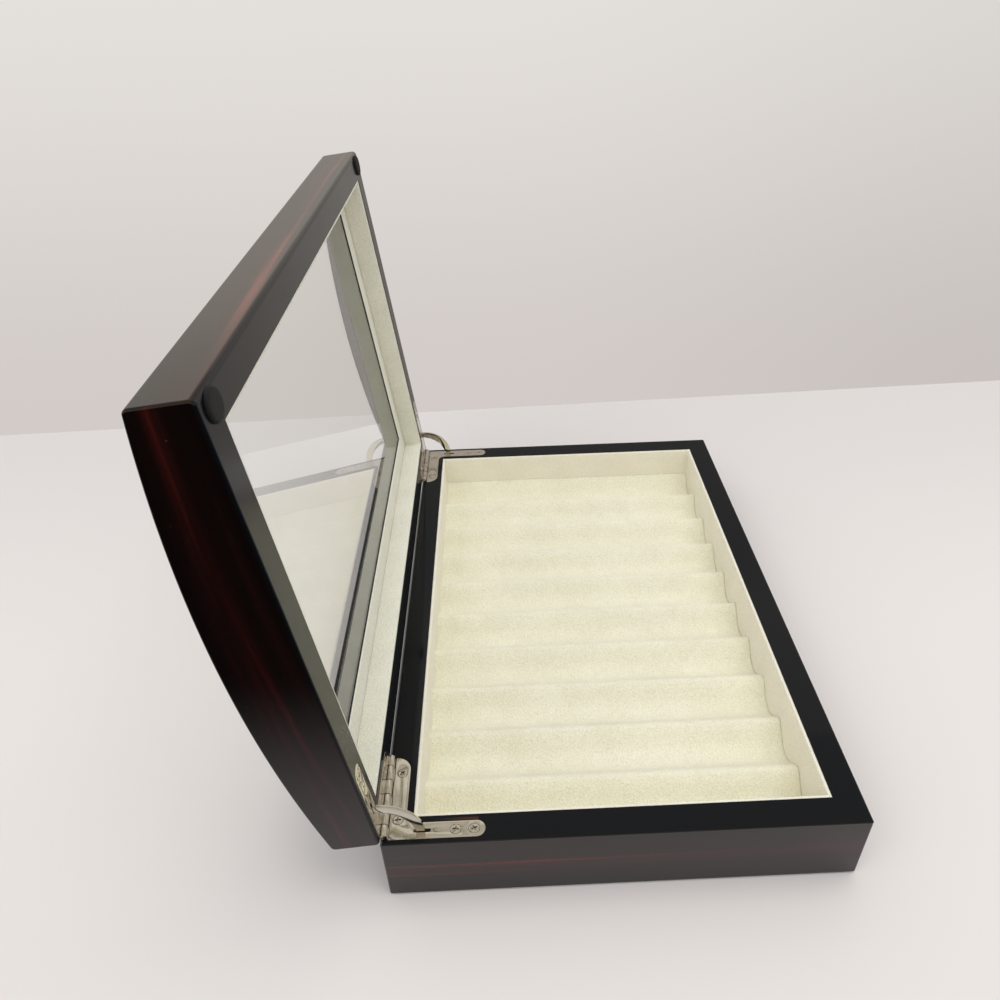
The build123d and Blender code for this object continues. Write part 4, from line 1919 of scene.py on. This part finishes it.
@dataclass(frozen=True)
class Room:
    """Even room light, which gloss sees as a pale horizon, a dark band and a bright ceiling."""

    light: float = 0.74
    light_tone: Colour = (0.97, 0.975, 1.0)
    seen: Colour = (0.745, 0.72, 0.69)
    mirrored: Colour = (0.60, 0.555, 0.485)
    mirrored_band: Colour = (0.50, 0.47, 0.41)
    band_starts: tuple[float, float] = (0.36, 0.52)
    band_ends: tuple[float, float] = (0.80, 0.93)

    def lay_out(self, sheet: NodeSheet) -> None:
        """Room light for the case, and a plain backdrop for what looks straight at it."""
        heading = sheet.add("ShaderNodeTexCoord").outputs["Generated"]
        rise = sheet.add("ShaderNodeSeparateXYZ", Vector=heading).outputs[2]
        band = sheet.minus(sheet.ramp(rise, *self.band_starts), sheet.ramp(rise, *self.band_ends))
        seen = sheet.blend(band, self.mirrored, self.mirrored_band)
        ray = sheet.add("ShaderNodeLightPath").outputs
        seen = sheet.blend(sheet.in_reflection(), self.seen, seen)
        direct = sheet.math("MAXIMUM", ray["Is Camera Ray"], ray["Is Glossy Ray"])
        direct = sheet.math("MAXIMUM", direct, ray["Is Transmission Ray"])
        room = sheet.add("ShaderNodeBackground", Color=self.light_tone, Strength=self.light)
        shown = sheet.add("ShaderNodeBackground", Color=seen, Strength=1.0)
        mix = sheet.add("ShaderNodeMixShader")
        for index, socket in enumerate((direct, room.outputs[0], shown.outputs[0])):
            sheet.feed(mix.inputs[index], socket)
        output = sheet.add("ShaderNodeOutputWorld")
        sheet.feed(output.inputs["Surface"], mix.outputs[0])


@dataclass(frozen=True)
class Lamp:
    """A square soft lamp that faces the case, in watts."""

    name: str
    place: Point
    size: float
    power: float
    colour: Colour

    def hang(self, aim: Vector) -> None:
        """Hangs the lamp so that it faces a point, unseen in gloss.

        Args:
            aim: The point.
        """
        data = bpy.data.lights.new(self.name, "AREA")
        data.shape = "SQUARE"
        data.size = self.size
        data.energy = self.power
        data.color = self.colour
        lamp = bpy.data.objects.new(self.name, data)
        bpy.context.scene.collection.objects.link(lamp)
        lamp.visible_glossy = False
        lamp.location = self.place
        lamp.rotation_mode = "QUATERNION"
        lamp.rotation_quaternion = (aim - Vector(self.place)).to_track_quat("-Z", "Y")


@dataclass
class Studio:
    """The table, the wall behind it, the soft light and the camera."""

    lamps: tuple[Lamp, ...] = (
        Lamp("window_light", (-0.15, -0.6, 2.9), 2.0, 26.0, (1.0, 0.985, 0.95)),
        Lamp("fill_light", (-1.6, 1.6, 2.1), 1.8, 14.0, (0.98, 0.99, 1.0)),
    )
    lamp_aim: Vector = field(default_factory=lambda: Vector((0, 0, 0.05)))
    table_reach: float = 40.0
    wall_line: float = 0.2913
    wall_slant: float = -0.0369
    wall_half_width: float = 2.4
    wall_height: float = 0.55
    camera_place: Vector = field(default_factory=lambda: Vector((-0.344163, 0.043267, 0.324793)))
    camera_azimuth: float = -0.0203
    camera_tilt: float = 0.6303
    camera_roll: float = -0.0287
    camera_lens: float = 28.79
    camera_sensor: float = 36.0
    camera_shift: tuple[float, float] = (-0.0217, 0.0336)
    camera_clip: float = 0.01

    def build(self) -> None:
        """Sets up everything round the case."""
        self.build_table()
        self.build_wall()
        self.build_world()
        for lamp in self.lamps:
            lamp.hang(self.lamp_aim)
        self.build_camera()

    def build_table(self) -> None:
        """Lays the pale table."""
        reach = self.table_reach
        corners = [(-reach, -reach, 0), (reach, -reach, 0), (reach, reach, 0), (-reach, reach, 0)]
        table = make_object("table", corners, [(0, 1, 2, 3)])
        dress(table, Table())

    def build_wall(self) -> None:
        """Stands the pale wall behind the table, where it neither lights nor shades the case."""
        half, height = self.wall_half_width, self.wall_height
        near, far = ((self.wall_line + self.wall_slant * y, y) for y in (-half, half))
        corners = [(*near, 0), (*far, 0), (*far, height), (*near, height)]
        wall = make_object("wall", corners, [(3, 2, 1, 0)])
        wall.visible_diffuse = False
        wall.visible_shadow = False
        dress(wall, PaleWall())

    def build_world(self) -> None:
        """Gives the scene its room light."""
        world = bpy.data.worlds.new("room")
        world.use_nodes = True
        bpy.context.scene.world = world
        Room().lay_out(NodeSheet(world.node_tree))

    def build_camera(self) -> None:
        """Places the camera at the viewpoint of the photograph."""
        data = bpy.data.cameras.new("camera")
        data.lens = self.camera_lens
        data.sensor_width = self.camera_sensor
        data.shift_x, data.shift_y = self.camera_shift
        data.clip_start = self.camera_clip
        camera = bpy.data.objects.new("camera", data)
        bpy.context.scene.collection.objects.link(camera)
        turn, tilt, roll = self.camera_azimuth, self.camera_tilt, self.camera_roll
        flat = math.cos(tilt)
        ahead = Vector((math.cos(turn) * flat, math.sin(turn) * flat, -math.sin(tilt)))
        level = Vector((math.sin(turn), -math.cos(turn), 0))
        above = level.cross(ahead)
        right = level * math.cos(roll) + above * math.sin(roll)
        up = above * math.cos(roll) - level * math.sin(roll)
        axes = Matrix((right, up, -ahead)).transposed().to_4x4()
        camera.matrix_world = Matrix.Translation(self.camera_place) @ axes
        bpy.context.scene.camera = camera


def main() -> None:
    """Builds the case and its surroundings in order."""
    logging.basicConfig(level=logging.INFO, format="%(name)s: %(message)s")
    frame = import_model()
    for left_over in [o for o in bpy.context.scene.objects if o.name in ("Cube", "Light", "Camera")]:
        bpy.data.objects.remove(left_over)
    bpy.context.scene.view_settings.view_transform = "Standard"
    pivot = Pivot.of_frame(frame)
    nodes = frame["nodes"]
    BaseBox(nodes).build()
    LidFrame(nodes, pivot).build()
    for hand in Hand:
        Hinge(nodes, hand, pivot).build()
    Studio().build()


if __name__ == "__main__":
    main()
